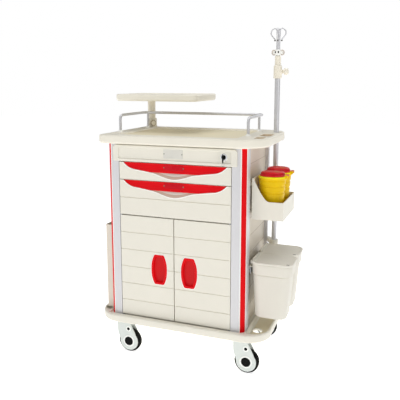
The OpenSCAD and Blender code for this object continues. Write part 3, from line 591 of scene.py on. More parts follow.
def drawer_front(name, z0, z1, grooves, body, node):
    m = Mesh()
    za, zb, x0, x1 = z0 + 1.4, z1 - 1.4, -239.6, 239.6
    edge = [(x, z1 - d) for x, d in pull_edge(True)]
    edge[0] = (edge[0][0] + .3, zb); edge[-1] = (edge[-1][0] - .3, zb)
    prof = [(4.0, 0.0), (3.3, -0.55), (2.4, -0.95), (1.5, -0.95), (0.7, -0.5), (0.15, 0.5)]
    rings = []
    for e, y in prof:
        # the outline runs right to left along the bottom, so outward is a positive offset of the reversed list
        pts = list(reversed(offset(list(reversed(edge)), e, closed=False)))
        pts[0] = (edge[0][0] + e * 1.25, zb); pts[-1] = (edge[-1][0] - e * 1.25, zb)
        rings.append([(p[0], y, min(p[1], zb)) for p in pts])
    rings.append([(p[0], 0.6 + 4.4 * (1 - ridge(p[0])), p[1]) for p in edge])
    ids = [m.ring(r) for r in rings]
    # the bead rows round the pull take the near-white: a painted highlight
    for k, (a, b) in enumerate(zip(ids, ids[1:])):
        m.cur = 1 if k < 4 else 0
        m.strip(a, b, False)
    m.cur = 0
    # floor of the recess and the finger bowl
    K = 12
    prev = ids[-1]
    for k in range(1, K + 1):
        s = k / K
        row = []
        for (x, zu) in edge:
            z = zu + (zb - zu) * s
            w = ridge(x)
            base = 0.6 + 4.4 * (1 - w)
            lip = max(0.12, min(1.0, (36.0 - 5 - (z1 - zu) + 38) / max(1.0, (z1 - zu))))
            rise = math.sin(math.pi / 2 * min(1.0, s / 0.52))
            row.append((x, base + (5 + 9 * w - base) * rise, z))
        cur = m.ring(row)
        # the first rows at the scoop's lower rim take the darker tan: painted shade and painted red reflection
        m.cur = 2 if k <= 2 else 0
        m.strip(prev, cur, False)
        prev = cur
    m.cur = 0
    # front faces between the grooves, with a shallow V at each groove
    top_l, top_r = m.ring([(x0, 0, zb)])[0], m.ring([(x1, 0, zb)])[0]
    zs = [(za, 0)]
    for g in sorted(grooves):
        zs += [(g - 2.0, 0), (g - 0.6, 3.0), (g + 0.6, 3.0), (g + 2.0, 0)]
    L = [m.ring([(x0, y, z)])[0] for z, y in zs]
    R = [m.ring([(x1, y, z)])[0] for z, y in zs]
    for i in range(len(zs) - 1):
        m.face((L[i], R[i], R[i + 1], L[i + 1]))
    m.fill([L[-1], R[-1], top_r] + ids[0] + [top_l])
    # sides, back and top
    bk = m.ring([(x0, 18, za), (x1, 18, za), (x1, 18, zb), (x0, 18, zb)])
    m.face(bk)
    m.face((L[0], R[0], bk[1], bk[0]))
    m.fill(R + [top_r, bk[2], bk[1]])
    m.fill(L + [top_l, bk[3], bk[0]])
    top = [top_r] + [r[0] for r in ids] + prev[0:1]
    top_loop = [top_r] + [r[0] for r in ids] + list(prev) + [r[-1] for r in reversed(ids)] + [top_l, bk[3], bk[2]]
    seen, loop = set(), []
    for i in top_loop:
        key = tuple(round(c, 4) for c in m.v[i])
        if key not in seen:
            seen.add(key)
            loop.append(i)
    m.fill(loop)
    return piece(name, m, [CREAM, WHITE_AND_HIGHLIGHT, SCOOP_SHADOW_AND_REFLECTION], body, [node], bevel=1.2, seg=2, ang=66, smooth=38)


def drawer_pull(name, z1, body, node):
    m = Mesh()
    edge = [(x * 0.9985, z1 - d + 0.25) for x, d in pull_edge(False)]
    zt = z1 - 1.8
    S = [0, .012, .03, .06, .11, .165, .20, .225, .30, .42, .55, .68, .80, .86, .885, .92, .96, 1.0]
    rows = []

    def yf(x, s):
        tilt = 0.9 + 3.4 * s
        roll = 1.1 * (1 - min(1, s / 0.06)) ** 2
        step = 1.1 * smooth01((s - .165) / .06) * (1 - smooth01((s - .86) / .05)) * (1 - smooth01((abs(x) - 196) / 8))
        return tilt + roll + step
    for s in S:
        rows.append([(x, yf(x, s), zl_ + (zt - zl_) * s if zt > zl_ else zl_) for x, zl_ in edge])
    ids = [m.ring(r) for r in rows]
    for a, b in zip(ids, ids[1:]):
        m.strip(a, b, False)
    bk = [m.ring([(p[0], (yf(p[0], 0) + 3.2), p[2] + 0.3) for p in rows[0]]), m.ring([(p[0], yf(p[0], 1) + 2.4, p[2]) for p in rows[-1]])]
    m.strip(ids[0], bk[0], False); m.strip(bk[0], bk[1], False); m.strip(bk[1], ids[-1], False)
    ob = piece(name, m, [RED], body, [node], bevel=0.0, smooth=50)
    # label window with two small screws
    m = Mesh()
    zc = z1 - 15.5
    def lab(o):
        return rr4(-41 + o, 41 - o, zc - 11.5 + o, zc + 9.5 - o, [2 - min(o, 1)] * 4, 4)
    def yl(z, d):
        s = (z - (z1 - 37)) / 35.0
        return 0.9 + 3.4 * s + 1.1 - d
    rr_ = [[(p[0], yl(p[1], d), p[1]) for p in lab(o)] for o, d in ((0, -0.6), (0, 0.7), (0.35, 1.1), (0.9, 1.25))]
    m.loft(rr_, True, True, True)
    m.cur = 1
    for x in (-41.5, 41.5):
        m.lathe([(2.6, 0.6), (2.6, -0.5), (2.1, -1.0), (1.1, -1.25)], (x, zc - 1, yl(zc - 1, 0.8)), "y", 20)
        m.stack(lambda o, x=x: rr4(x - 1.9, x + 1.9, zc - 1.35, zc - 0.65, [.1] * 4, 1), [(0, yl(zc, 1.9)), (0, yl(zc, 2.15))], "y")
    piece(name + "_label_window", m, [LABEL, SCREW], body, bevel=0.0, smooth=40)
    return ob


def smooth01(t):
    t = max(0.0, min(1.0, t))
    return t * t * (3 - 2 * t)


drawer_front("drawer_1_face", ZL[8], ZL[9], [], "drawer_1", "drawer_1_front")
drawer_front("drawer_2_face", ZL[6], ZL[8], [ZL[7]], "drawer_2", "drawer_2_front")
drawer_pull("drawer_1_pull", ZL[9], "drawer_1", "drawer_1_grip")
drawer_pull("drawer_2_pull", ZL[8], "drawer_2", "drawer_2_grip")
# drawer boxes and divider in the darker cream: painted shade
keep("drawer_1_box", CREAM_IN_SHADOW, 0.8); keep("drawer_2_box", CREAM_IN_SHADOW, 0.8)
keep("fixed_runners", STEEL, 0.4); keep("divider_panel", CREAM_IN_SHADOW, 0.5)


# ------------------------------------------------------------------ doors
def barrel(cx, cz):
    zs = [-62.5, -56, -46, -30, -12, 12, 30, 46, 56, 62.5]
    w = lambda z: 34.4 * (1 - 0.43 * (abs(z) / 62.5) ** 2.4)
    key = [(w(z), z) for z in zs] + [(11, 62.5), (-11, 62.5)] + [(-w(z), z) for z in reversed(zs)] + [(-11, -62.5), (11, -62.5)]
    return [(cx + x, cz + z) for x, z in chaikin(key, 3)]


for s, nm, body in ((-1, "left", "door_l"), (1, "right", "door_r")):
    x0, x1 = (-239.8, -1.8) if s < 0 else (1.8, 239.8)
    za, zb = Z0 + 7.4, ZL[6] - 3.4
    m = Mesh()
    prof = [(18, za), (0, za)]
    for i in range(1, 6):
        prof += [(0, ZL[i] - 2.0), (3.0, ZL[i] - 0.6), (3.0, ZL[i] + 0.6), (0, ZL[i] + 2.0)]
    prof += [(0, zb), (18, zb)]
    m.loft([[(x, p[0], p[1]) for p in prof] for x in (x0, x1)], True, True, True)
    cx, cz = s * 66.0, ZL[3]
    B = barrel(cx, cz)
    c = Mesh(); c.loft([[(p[0], y, p[1]) for p in offset(B, 0.05)] for y in (-4, 14)], True, True, True)
    pin = []
    for z in (Z0 + 2, ZL[6] - 20):
        q = Mesh(); q.lathe([(2.1, 0), (2.1, 19)], (s * 236.5, 3, z), "z", 20); pin.append(q)
    piece("door_" + nm + "_panel", m, CREAM, body, ["door_" + nm], bevel=0.9, seg=2, ang=50, smooth=30, cutters=[c] + pin)
    # red cup handle; its white seal ring is a painted highlight round the cup
    m = Mesh()
    m.cur = 1
    a = m.loft([[(p[0], y, p[1]) for p in offset(B, e)] for e, y in ((3.6, 0.2), (3.5, -0.35), (2.9, -0.75), (2.0, -0.85), (1.2, -0.7))])
    m.cur = 0
    rings = [(1.2, -0.7), (0.8, -1.25), (0.0, -1.65), (-1.5, -1.8), (-6.2, -1.75), (-7.2, -1.4), (-7.9, -0.6), (-8.3, 0.4), (-9.1, 6.4), (-9.7, 8.0), (-10.8, 8.9), (-12.4, 9.2)]
    def inner(e):
        if e > -9:
            return offset(B, e)
        q_ = offset(B, -8.3)
        kx, kz = (34.4 + e) / 26.1, (62.5 + e) / 54.2
        return [(cx + (t_[0] - cx) * kx, cz + (t_[1] - cz) * kz) for t_ in q_]
    b = m.loft([[(p[0], y, p[1]) for p in inner(e)] for e, y in rings])
    m.strip(a[-1], b[0])
    fl = []
    ctr = (cx, cz)
    prev = b[-1]
    base = [m.v[i] for i in b[-1]]
    # the cup's inner floor takes the darker red: painted shade in the recess
    for k in (0.66, 0.33):
        cur = m.ring([(cx + (p[0] - cx) * k, 9.2 + 0.4 * (1 - k), cz + (p[2] - cz) * k) for p in base])
        m.cur = 2
        m.strip(prev, cur)
        prev = cur
    m.face(prev)
    m.cur = 0
    # outer back of the cup
    c2 = m.loft([[(p[0], y, p[1]) for p in offset(B, e)] for e, y in ((3.6, 0.2), (-0.3, 0.2), (-0.6, 8), (-3, 13.6))])
    m.face(c2[-1])
    piece("door_" + nm + "_cup_handle", m, [RED, WHITE_AND_HIGHLIGHT, RED_RECESS_SHADOW], body, ["door_" + nm + "_handle"], bevel=0.0, smooth=50)
keep("door_hinges", STEEL, 0.2)
# side and back panels in the darker cream: painted shade
keep("side_panel_left", CREAM_IN_SHADOW, 0.5); keep("side_panel_right", CREAM_IN_SHADOW, 0.5); keep("back_panel", CREAM_IN_SHADOW, 0.8)
# thin darker strips on the side panels at the groove lines: painted shade of the grooves
for s, nm in ((-1, "left"), (1, "right")):
    m = Mesh()
    for i in range(1, 10):
        m.stack(lambda o, s=s: [(min(s * 284.9, s * 285.2), 59), (max(s * 284.9, s * 285.2), 59), (max(s * 284.9, s * 285.2), 369), (min(s * 284.9, s * 285.2), 369)], [(0, ZL[i] - 0.9), (0, ZL[i] + 0.9)])
    piece("side_panel_" + nm + "_groove_shade_lines", m, PANEL_LINE_SHADOW, "cart", bevel=0.0)


# ------------------------------------------------------------------ tabletop
m = Mesh()
TOP = lambda o: rr4(-330 + o, 372 - o, -26 + o, 456 - o, [34 - o, 118 - o, 118 - o, 34 - o], 18)
m.stack(TOP, rnd(922, 957, 9, 7, 6))
cut = [rect_cut(-262, 250, 30, 410, 22, [(3.4, 951), (1.2, 951.5), (0.2, 952.8), (-0.4, 955), (-1.6, 956.6), (-4.0, 957.4), (-6, 960)], 12),
       rect_cut(-234, 234, 30, 396, 10, [(0, 915), (0, 941), (3, 943)])]
for x0, x1, y0, y1, r in ((310, 346, 42, 122, [12, 16, 12, 12]), (304, 350, 146, 256, [12, 14, 14, 12])):
    cut.append(rect_cut(x0, x1, y0, y1, r, [(-7, 919), (-4.2, 921.8), (-1.6, 924.5), (-0.3, 928), (0, 932), (0, 948), (-0.4, 951.5), (-1.8, 954.8), (-4.0, 957.0), (-6.5, 958.5)], 10))
q = Mesh(); q.lathe([(11.3, -30), (11.3, 30)], (341, 325, 940), "z", 40); cut.append(q)
q = Mesh(); q.lathe([(18.2, 0), (18.2, 40)], (-285, 415, 928), "z", 40); cut.append(q)
piece("tabletop_moulding", m, CREAM_TOP, "cart", ["tabletop"], bevel=0.0, smooth=32, cutters=cut)

# the tabletop's recessed floor, a darker tan sheet: painted shade in the recess
m = Mesh()
a = m.ring([(q_[0], q_[1], 951.5) for q_ in box4(-262, 250, 30, 410, 22, 12)(3.6)])
b = m.ring([(q_[0], q_[1], 950.9) for q_ in box4(-262, 250, 30, 410, 22, 12)(3.6)])
m.face(a); m.face(b); m.strip(a, b)
piece("tabletop_recess_painted_shade", m, RECESS_SHADOW, "cart", bevel=0.0)
# sleeves in the tabletop's hand slots, in the darker tan: painted shade
m = Mesh()
for x0, x1, y0, y1, r in ((310, 346, 42, 122, [12, 16, 12, 12]), (304, 350, 146, 256, [12, 14, 14, 12])):
    fn = box4(x0, x1, y0, y1, r, 10)
    m.loft([[(q_[0], q_[1], z_) for q_ in fn(o_)] for o_, z_ in ((0.3, 931), (0.3, 948), (-0.1, 951.5), (-1.4, 954.6), (-1.1, 954.8), (0.4, 951.5), (0.9, 948), (0.9, 931), (0.3, 931))])
piece("tabletop_slot_shade_sheet", m, SLOT_SHADOW, "cart", bevel=0.0, smooth=40)

# guard rail
def bend(a, c, b, n=10):
    return [tuple((1 - s) ** 2 * a[k] + 2 * s * (1 - s) * c[k] + s * s * b[k] for k in range(3)) for s in [i / n for i in range(n + 1)]]


m = Mesh()
rx, ry, rz = (-300, 270), (128, 372), DECK + 71
path = [(rx[0], ry[0], DECK + 0.5), (rx[0], ry[0], rz - 34)] + bend((rx[0], ry[0], rz - 24), (rx[0], ry[0], rz), (rx[0], ry[0] + 24, rz)) + \
    bend((rx[0], ry[1] - 24, rz), (rx[0], ry[1], rz), (rx[0] + 24, ry[1], rz)) + bend((rx[1] - 24, ry[1], rz), (rx[1], ry[1], rz), (rx[1], ry[1] - 24, rz)) + \
    bend((rx[1], ry[0] + 24, rz), (rx[1], ry[0], rz), (rx[1], ry[0], rz - 24)) + [(rx[1], ry[0], rz - 34), (rx[1], ry[0], DECK + 0.5)]
m.tube(path, 6.0, 20)
for x in (rx[0] + 16, rx[1] - 16):
    m.tube([(x, ry[1], DECK + .5), (x, ry[1], rz - 20), (x, ry[1], rz - 3)], 5.5, 20)
piece("guard_rail_tube", m, CHROME, "cart", ["guard_rail"], smooth=50)
m = Mesh()
for x, y, r in ((rx[0], ry[0], 6), (rx[1], ry[0], 6), (rx[0] + 16, ry[1], 5.5), (rx[1] - 16, ry[1], 5.5)):
    m.lathe([(r + .15, 0.1), (r + 5.4, 0.1), (r + 5.2, 2.2), (r + 4.0, 3.2), (r + 2.6, 4.0), (r + 2.1, 6.6), (r + 1.3, 7.4), (r + .15, 7.5)], (x, y, DECK), "z", 36, closed=True)
piece("rail_collars", m, WHITE_AND_HIGHLIGHT, "cart", ["rail_sockets"], smooth=40)


# ------------------------------------------------------------------ swivel shelf and its post
m = Mesh()
sx0, sx1, sy0, sy1 = -352, 33, 175, 450
m.stack(box4(sx0, sx1, sy0, sy1, 26, 12), rnd(1087, 1117, 10, 6, 6))
cut = [rect_cut(sx0 + 12, sx1 - 12, sy0 + 12, sy1 - 12, 18, [(3, 1113), (1.0, 1113.5), (0.1, 1114.6), (-0.6, 1116), (-2.2, 1117.1), (-4, 1119)], 10)]
q = rect_cut(sx0 + 12, sx1 - 12, sy0 + 12, sy1 - 12, 18, [(-3, 1083), (-2, 1087), (0, 1090), (1, 1106), (3, 1107)], 8)
cut.append(q)
boss = Mesh(); boss.lathe([(27, 0), (28, 2), (29, 21)], (-285, 415, 1087.5), "z", 40)
ribs = []
for x in (-200, -120, -40):
    r_ = Mesh(); r_.stack(box4(x - 1.5, x + 1.5, sy0 + 9, sy1 - 9, .2, 1), [(0, 1092), (0, 1108)]); ribs.append(r_)
for y in (245, 335):
    r_ = Mesh(); r_.stack(box4(sx0 + 9, sx1 - 9, y - 1.5, y + 1.5, .2, 1), [(0, 1092), (0, 1108)]); ribs.append(r_)
piece("top_shelf_moulding", m, CREAM_TOP, "shelf", ["top_shelf"], bevel=0.0, smooth=32, cutters=cut)
m = Mesh()
m.lathe([(12.3, 1), (27.5, 1), (28.2, 3), (29.2, 20), (12.3, 20)], (-285, 415, 1087), "z", 44, closed=True)
for x in (-215, -130, -45):
    m.stack(box4(x - 1.5, x + 1.5, sy0 + 13, sy1 - 13, .2, 1), [(0.4, 1092), (0, 1093), (0, 1107)])
for y in (245, 345):
    m.stack(box4(sx0 + 13, sx1 - 13, y - 1.5, y + 1.5, .2, 1), [(0.4, 1092), (0, 1093), (0, 1107)])
piece("top_shelf_ribs", m, CREAM, "shelf", smooth=40)
m = Mesh()
m.lathe([(16, 0), (18, 1.5), (18, 156.5), (17.4, 158), (12, 158.2), (12, 174)], (-285, 415, 928.4), "z", 56)
piece("shelf_post_tube", m, KNOB, "post", ["shelf_post"], smooth=40)
m = Mesh()
m.lathe([(18.15, 0.1), (27, 0.1), (27, 3.0), (26.4, 4.4), (25.2, 5.2), (24.4, 6.4), (24, 9), (24, 37), (23.6, 39.8), (22.4, 41.4), (20.6, 42), (18.6, 42), (18.15, 41.4)], (-285, 415, DECK), "z", 56, closed=True)
piece("shelf_socket_boss", m, CREAM_TOP, "cart", ["shelf_socket"], smooth=40)
# octagonal clamp knob of the post
kd = Vector((0.574, -0.819, 0)).normalized()
ks = Vector((-kd.y, kd.x, 0))
kc = Vector((-285, 415, DECK + 21))
m = Mesh()


def knob_rings(prof, n=48, lobes=8, dep=0.0):
    out = []
    for r, hh in prof:
        ring = []
        for i in range(n):
            a = 2 * math.pi * i / n
            rr_ = r * (1 - dep * (0.5 + 0.5 * math.cos(lobes * a)))
            ring.append(kc + kd * hh + ks * (rr_ * math.cos(a)) + Vector((0, 0, 1)) * (rr_ * math.sin(a)))
        out.append(ring)
    return out


m.loft(knob_rings([(4, 18.6), (4, 27)]), True, True, True)
# the knob's flank takes the darker tan: painted shade; the face stays cream
m.cur = 1
ka = m.loft(knob_rings([(8, 26.6), (9.5, 27.2), (12.6, 28.6), (13.8, 31), (14.2, 36), (14.2, 41), (13.6, 44.4), (12.2, 46.2), (10.6, 47.2)], dep=0.13), True, True, False)
m.cur = 0
kb = m.loft(knob_rings([(10.2, 47.3), (9.6, 47.9), (7.6, 48), (3, 48.0)], dep=0.13), True, False, True)
m.strip(ka[-1], kb[0])
piece("shelf_clamp_knob", m, [KNOB, KNOB_FLANK_SHADOW], "shelf_knob_b", ["shelf_knob"], smooth=46)


# ------------------------------------------------------------------ drip pole
m = Mesh()
m.lathe([(8.7, 0), (10.6, 0), (11, 0.6), (11, 743.4), (10.6, 744), (8.7, 744)], (341, 325, 440), "z", 48, closed=True)
piece("pole_outer_tube", m, CHROME, "cart", ["pole_tube"], smooth=40)
m = Mesh()
m.lathe([(11.1, 0), (15.5, 0), (16.8, 1.2), (17, 3), (17, 48), (16.6, 51.5), (15.2, 53.6), (13.2, 54.6), (12.6, 56), (12.5, 58), (12.3, 88), (11.6, 91), (10, 92.6), (8.3, 93), (8.1, 92), (8.1, 1)], (341, 325, 1184), "z", 48, closed=True)
q = Mesh(); q.lathe([(12.6, 60), (13.3, 61), (13.3, 63), (12.6, 64)], (341, 325, 1184), "z", 48, closed=True)
m.v += [];
base_i = len(m.v); m.v += q.v; m.f += [tuple(i + base_i for i in f) for f in q.f]; m.m += q.m
# boss that carries the clamp screw
m.lathe([(10.5, 9), (10.5, 17), (9.6, 19), (8.0, 19.6), (4.2, 19.6)], (325, 1212, 341), "x", 32)
piece("pole_clamp_body", m, KNOB, "cart", ["pole_clamp"], smooth=40)
m = Mesh()
m.lathe([(4, 8.6), (4, 20.4)], (325, 1212, 341), "x", 28)
m.lathe([(5.4, 20.2), (6.4, 20.6), (7.0, 24), (9.5, 26.5), (12.6, 28.5), (13.9, 31.5), (14.0, 38.5), (13.0, 42.4), (10.5, 44.4), (7.5, 44.9), (6.9, 44.2), (3, 44.0)], (325, 1212, 341), "x", 40)
for i in range(8):
    pass
piece("pole_clamp_knob", m, KNOB, "pole_knob_b", ["pole_knob"], smooth=40)
m = Mesh()
m.lathe([(2, 0), (6.5, 0), (8, 1.5), (8, 672)], (341, 325, 700), "z", 40)
m.lathe([(8, 0), (9.0, 0.4), (9.2, 2), (9.2, 6), (8.4, 8.4), (6.4, 9.7), (3.4, 10.2)], (341, 325, 1371.5), "z", 40)
for k in range(4):
    a = math.pi / 2 * k
    pts = [(4, 0, -7), (7, 0, 4), (13, 0, 10), (21, 0, 9), (28.5, 0, 2), (31.5, 0, -8), (28, 0, -18), (21, 0, -26), (15.5, 0, -33), (14.2, 0, -38)]
    # smooth the hook with Catmull-Rom
    sm = []
    for i in range(len(pts) - 1):
        p0, p1, p2, p3 = [Vector(pts[max(0, min(len(pts) - 1, j))]) for j in (i - 1, i, i + 1, i + 2)]
        for t in (0, .25, .5, .75):
            sm.append(0.5 * ((2 * p1) + (p2 - p0) * t + (2 * p0 - 5 * p1 + 4 * p2 - p3) * t * t + (3 * p1 - p0 - 3 * p2 + p3) * t ** 3))
    sm.append(Vector(pts[-1]))
    ca, sa = math.cos(a), math.sin(a)
    path = [(341 + p.x * ca - p.y * sa, 325 + p.x * sa + p.y * ca, 1377 + p.z) for p in sm]
    m.cur = 0
    m.tube(path, 2.7, 12)
    e = path[-1]
    m.cur = 1
    m.lathe([(0.8, -2.2), (2.6, -1.6), (3.6, 0.2), (3.7, 1.8), (2.9, 3.6), (0.8, 4.4)], (e[0], e[1], e[2] - 1), "z", 16)
piece("drip_rod_and_hooks", m, [CHROME, TIP], "drip_rod", ["pole_rod"], smooth=50)
# eared collar
m = Mesh()
zc = 1290
m.lathe([(8.1, -12), (12, -12), (13, -11), (13, 11), (12, 12), (8.1, 12)], (341, 325, zc), "z", 44, closed=True)
# the ear rims take the pinkish tan: painted shade; their centres are white
for s in (-1, 1):
    m.cur = 2
    er = [[(341 + s * 17.5 + ax * math.cos(2 * math.pi * i / 40), 325 + y_, zc + az * math.sin(2 * math.pi * i / 40)) for i in range(40)]
          for ax, az, y_ in ((6.6, 8.8, -4.4), (8.6, 10.9, -5), (9.4, 11.7, -4.2), (9.4, 11.7, 4.2), (8.6, 10.9, 5), (6.6, 8.8, 4.4))]
    ei = m.loft(er)
    m.strip(ei[-1], ei[0])
    m.cur = 0
    m.loft([[(341 + s * 17.5 + ax * math.cos(2 * math.pi * i / 40), 325 + y_, zc + az * math.sin(2 * math.pi * i / 40)) for i in range(40)] for ax, az, y_ in ((6.7, 8.9, -2.2), (6.7, 8.9, 2.2))], True, True, True)
    m.stack(lambda o, s=s: rr4(min(s * 11, s * 19) + 341, max(s * 11, s * 19) + 341, zc - 6 + o, zc + 6 - o, [1.0] * 4, 3), [(0.8, 321), (0, 321.8), (0, 328.2), (0.8, 329)], "y")
# two black plugs on the collar's front stand for its holes: painted shade
m.cur = 1
for a in (-0.82, 0.28):
    d = Vector((math.sin(a), -math.cos(a), 0))
    pos = Vector((341, 325, zc + 1.5)) + d * 11.4
    n = 20
    u = Vector((d.y, -d.x, 0))
    m.loft([[pos + d * hh + u * (r * math.cos(2 * math.pi * i / n)) + Vector((0, 0, 1)) * (r * 1.25 * math.sin(2 * math.pi * i / n)) for i in range(n)] for r, hh in ((3.2, 0), (3.2, 2.2), (2.4, 2.8))], True, True, True)
piece("bottle_collar_ring", m, [WHITE_AND_HIGHLIGHT, HOLE_SHADOW, EAR_RIM_SHADOW], "drip_rod", ["bottle_collar"], smooth=40)
keep("pole_bracket", CREAM, 0.8)


# ------------------------------------------------------------------ sharps tray
keep("sharps_tray", CREAM, 0.6, 3)
keep("bin_hanger", STEEL, 0.4)


def lofted(m, rows, n=12):
    """rows of (x0, x1, y0, y1, r, z)"""
    return m.loft([[(p[0], p[1], z) for p in rr4(x0, x1, y0, y1, [r] * 4, n)] for x0, x1, y0, y1, r, z in rows])


for nm, ya, yb in (("front", 82, 180), ("rear", 190, 288)):
    x0, x1 = 318.0, 424.0
    za, zr = 638.4, 790.0

    def sec(z, o=0.0):
        t = (z - za) / (zr - za)
        q_ = 13 * (1 - t) ** 1.1
        return (x0 + q_ + o, x1 - q_ - o, ya + q_ + o, yb - q_ - o, 34 + 12 * t - o, z)
    m = Mesh()
    rows = [sec(za, 6), sec(za + 0.6, 3), sec(za + 2.2, 1.0), sec(za + 5, 0)]
    # moulded ridges round the upper body
    for zc_, w, d in ((700, 3, 1.8), (740, 3, 2.4), (766, 3, 2.0)):
        rows += [sec(zc_ - w - 2, 0), sec(zc_ - w, d), sec(zc_ + w, d), sec(zc_ + w + 2, 0)]
    rows += [sec(783, 0), sec(786.5, 0.5), sec(789, 1.8)]
    for o, z in ((0.4, 789.4), (-0.8, 790.6), (-1.6, 793), (-2, 797), (-1.8, 800.5), (-0.6, 803), (1.2, 804), (3.4, 803.8), (4.6, 802.6), (5.2, 799), (5.6, 790)):
        rows.append((x0 + o + (0 if o > 0 else 0), x1 - o + (2 if o < 3 else 0), ya + o, yb - o, 48 - o, z))
    for z in (760, 700, 650, 646):
        r_ = sec(z, 6)
        rows.append(r_)
    ids = lofted(m, rows, 14)
    n_ = len(ids[0])
    lo_ = next(k for k, r_ in enumerate(rows) if r_[5] >= 796.5)
    for k in range(lo_, lo_ + 6):
        for i in range(n_):
            m.m[k * n_ + i] = 1
    m.face(ids[0]); m.face(ids[-1])
    ym = (ya + yb) / 2
    for s in (-1, 1):
        m.stack(box4(422, 435, *( (ym + 14, ym + 18) if s > 0 else (ym - 18, ym - 14) ), 1.4, 4), [(1, 797), (0, 798), (0, 808.6), (1, 809.6)])
    piece("sharps_bin_" + nm + "_tub", m, [YELLOW, YELLOW_RIM], "sharps_" + nm, ["sharps_bin_" + nm], smooth=34)
    m = Mesh()
    L = lambda o: rr4(x0 + 3 + o, x1 - 1 - o, ya + 3 + o, yb - 3 - o, [45 - o] * 4, 14)
    low = [(6, 804.4), (1.2, 804.4), (0.4, 805.0), (0.2, 806.2), (0.6, 807.6), (1.8, 808.4), (3.0, 809.2)]
    side = [(3.0, 809.2), (3.6, 811.4), (4.4, 814.6), (5.4, 817.0)]
    top = [(5.4, 817.0), (7.0, 818.8), (9.6, 819.8), (13, 820.0), (30, 820.3)]
    m.stack(L, low, cap0=False, cap1=False)
    # the lid's side band in the darker red: painted shade
    m.cur = 1
    m.stack(L, side, cap0=False, cap1=False)
    m.cur = 0
    m.stack(L, top, cap0=False, cap1=True)
    m.stack(L, [(6, 804.4), (6.4, 809.6), (10, 810.4)], cap0=False, cap1=True)
    fx, fy = (x0 + x1) / 2 + 2, ym
    # moulded ring and the amber-lined port
    m.stack(box4(fx - 34, fx + 34, fy - 31, fy + 31, 27, 10), [(0, 820.0), (0.2, 820.9), (1.2, 821.3), (2.4, 820.9), (2.8, 820.3)], cap0=False, cap1=False)
    m.cur = 2
    m.stack(box4(fx + 6, fx + 30, fy - 18, fy + 0, 8, 6), [(0, 819.8), (0.2, 820.9), (0.8, 821.2)])
    m.cur = 0
    m.stack(box4(x1 - 8, x1 + 8, ym - 11, ym + 11, 1, 3), [(0.6, 805), (0, 805.5), (0, 808.5), (0.6, 809)])
    m.lathe([(2.0, -13), (2.8, -12.4), (2.8, 12.4), (2.0, 13)], (432, 807, ym), "y", 20)
    m.lathe([(1.2, -17), (1.2, 17)], (432, 807, ym), "y", 14)
    piece("sharps_lid_" + nm + "_cap", m, [RED_LID, LID_BAND_SHADOW, AMBER], "sharps_" + nm + "_cap", ["sharps_lid_" + nm], smooth=34)


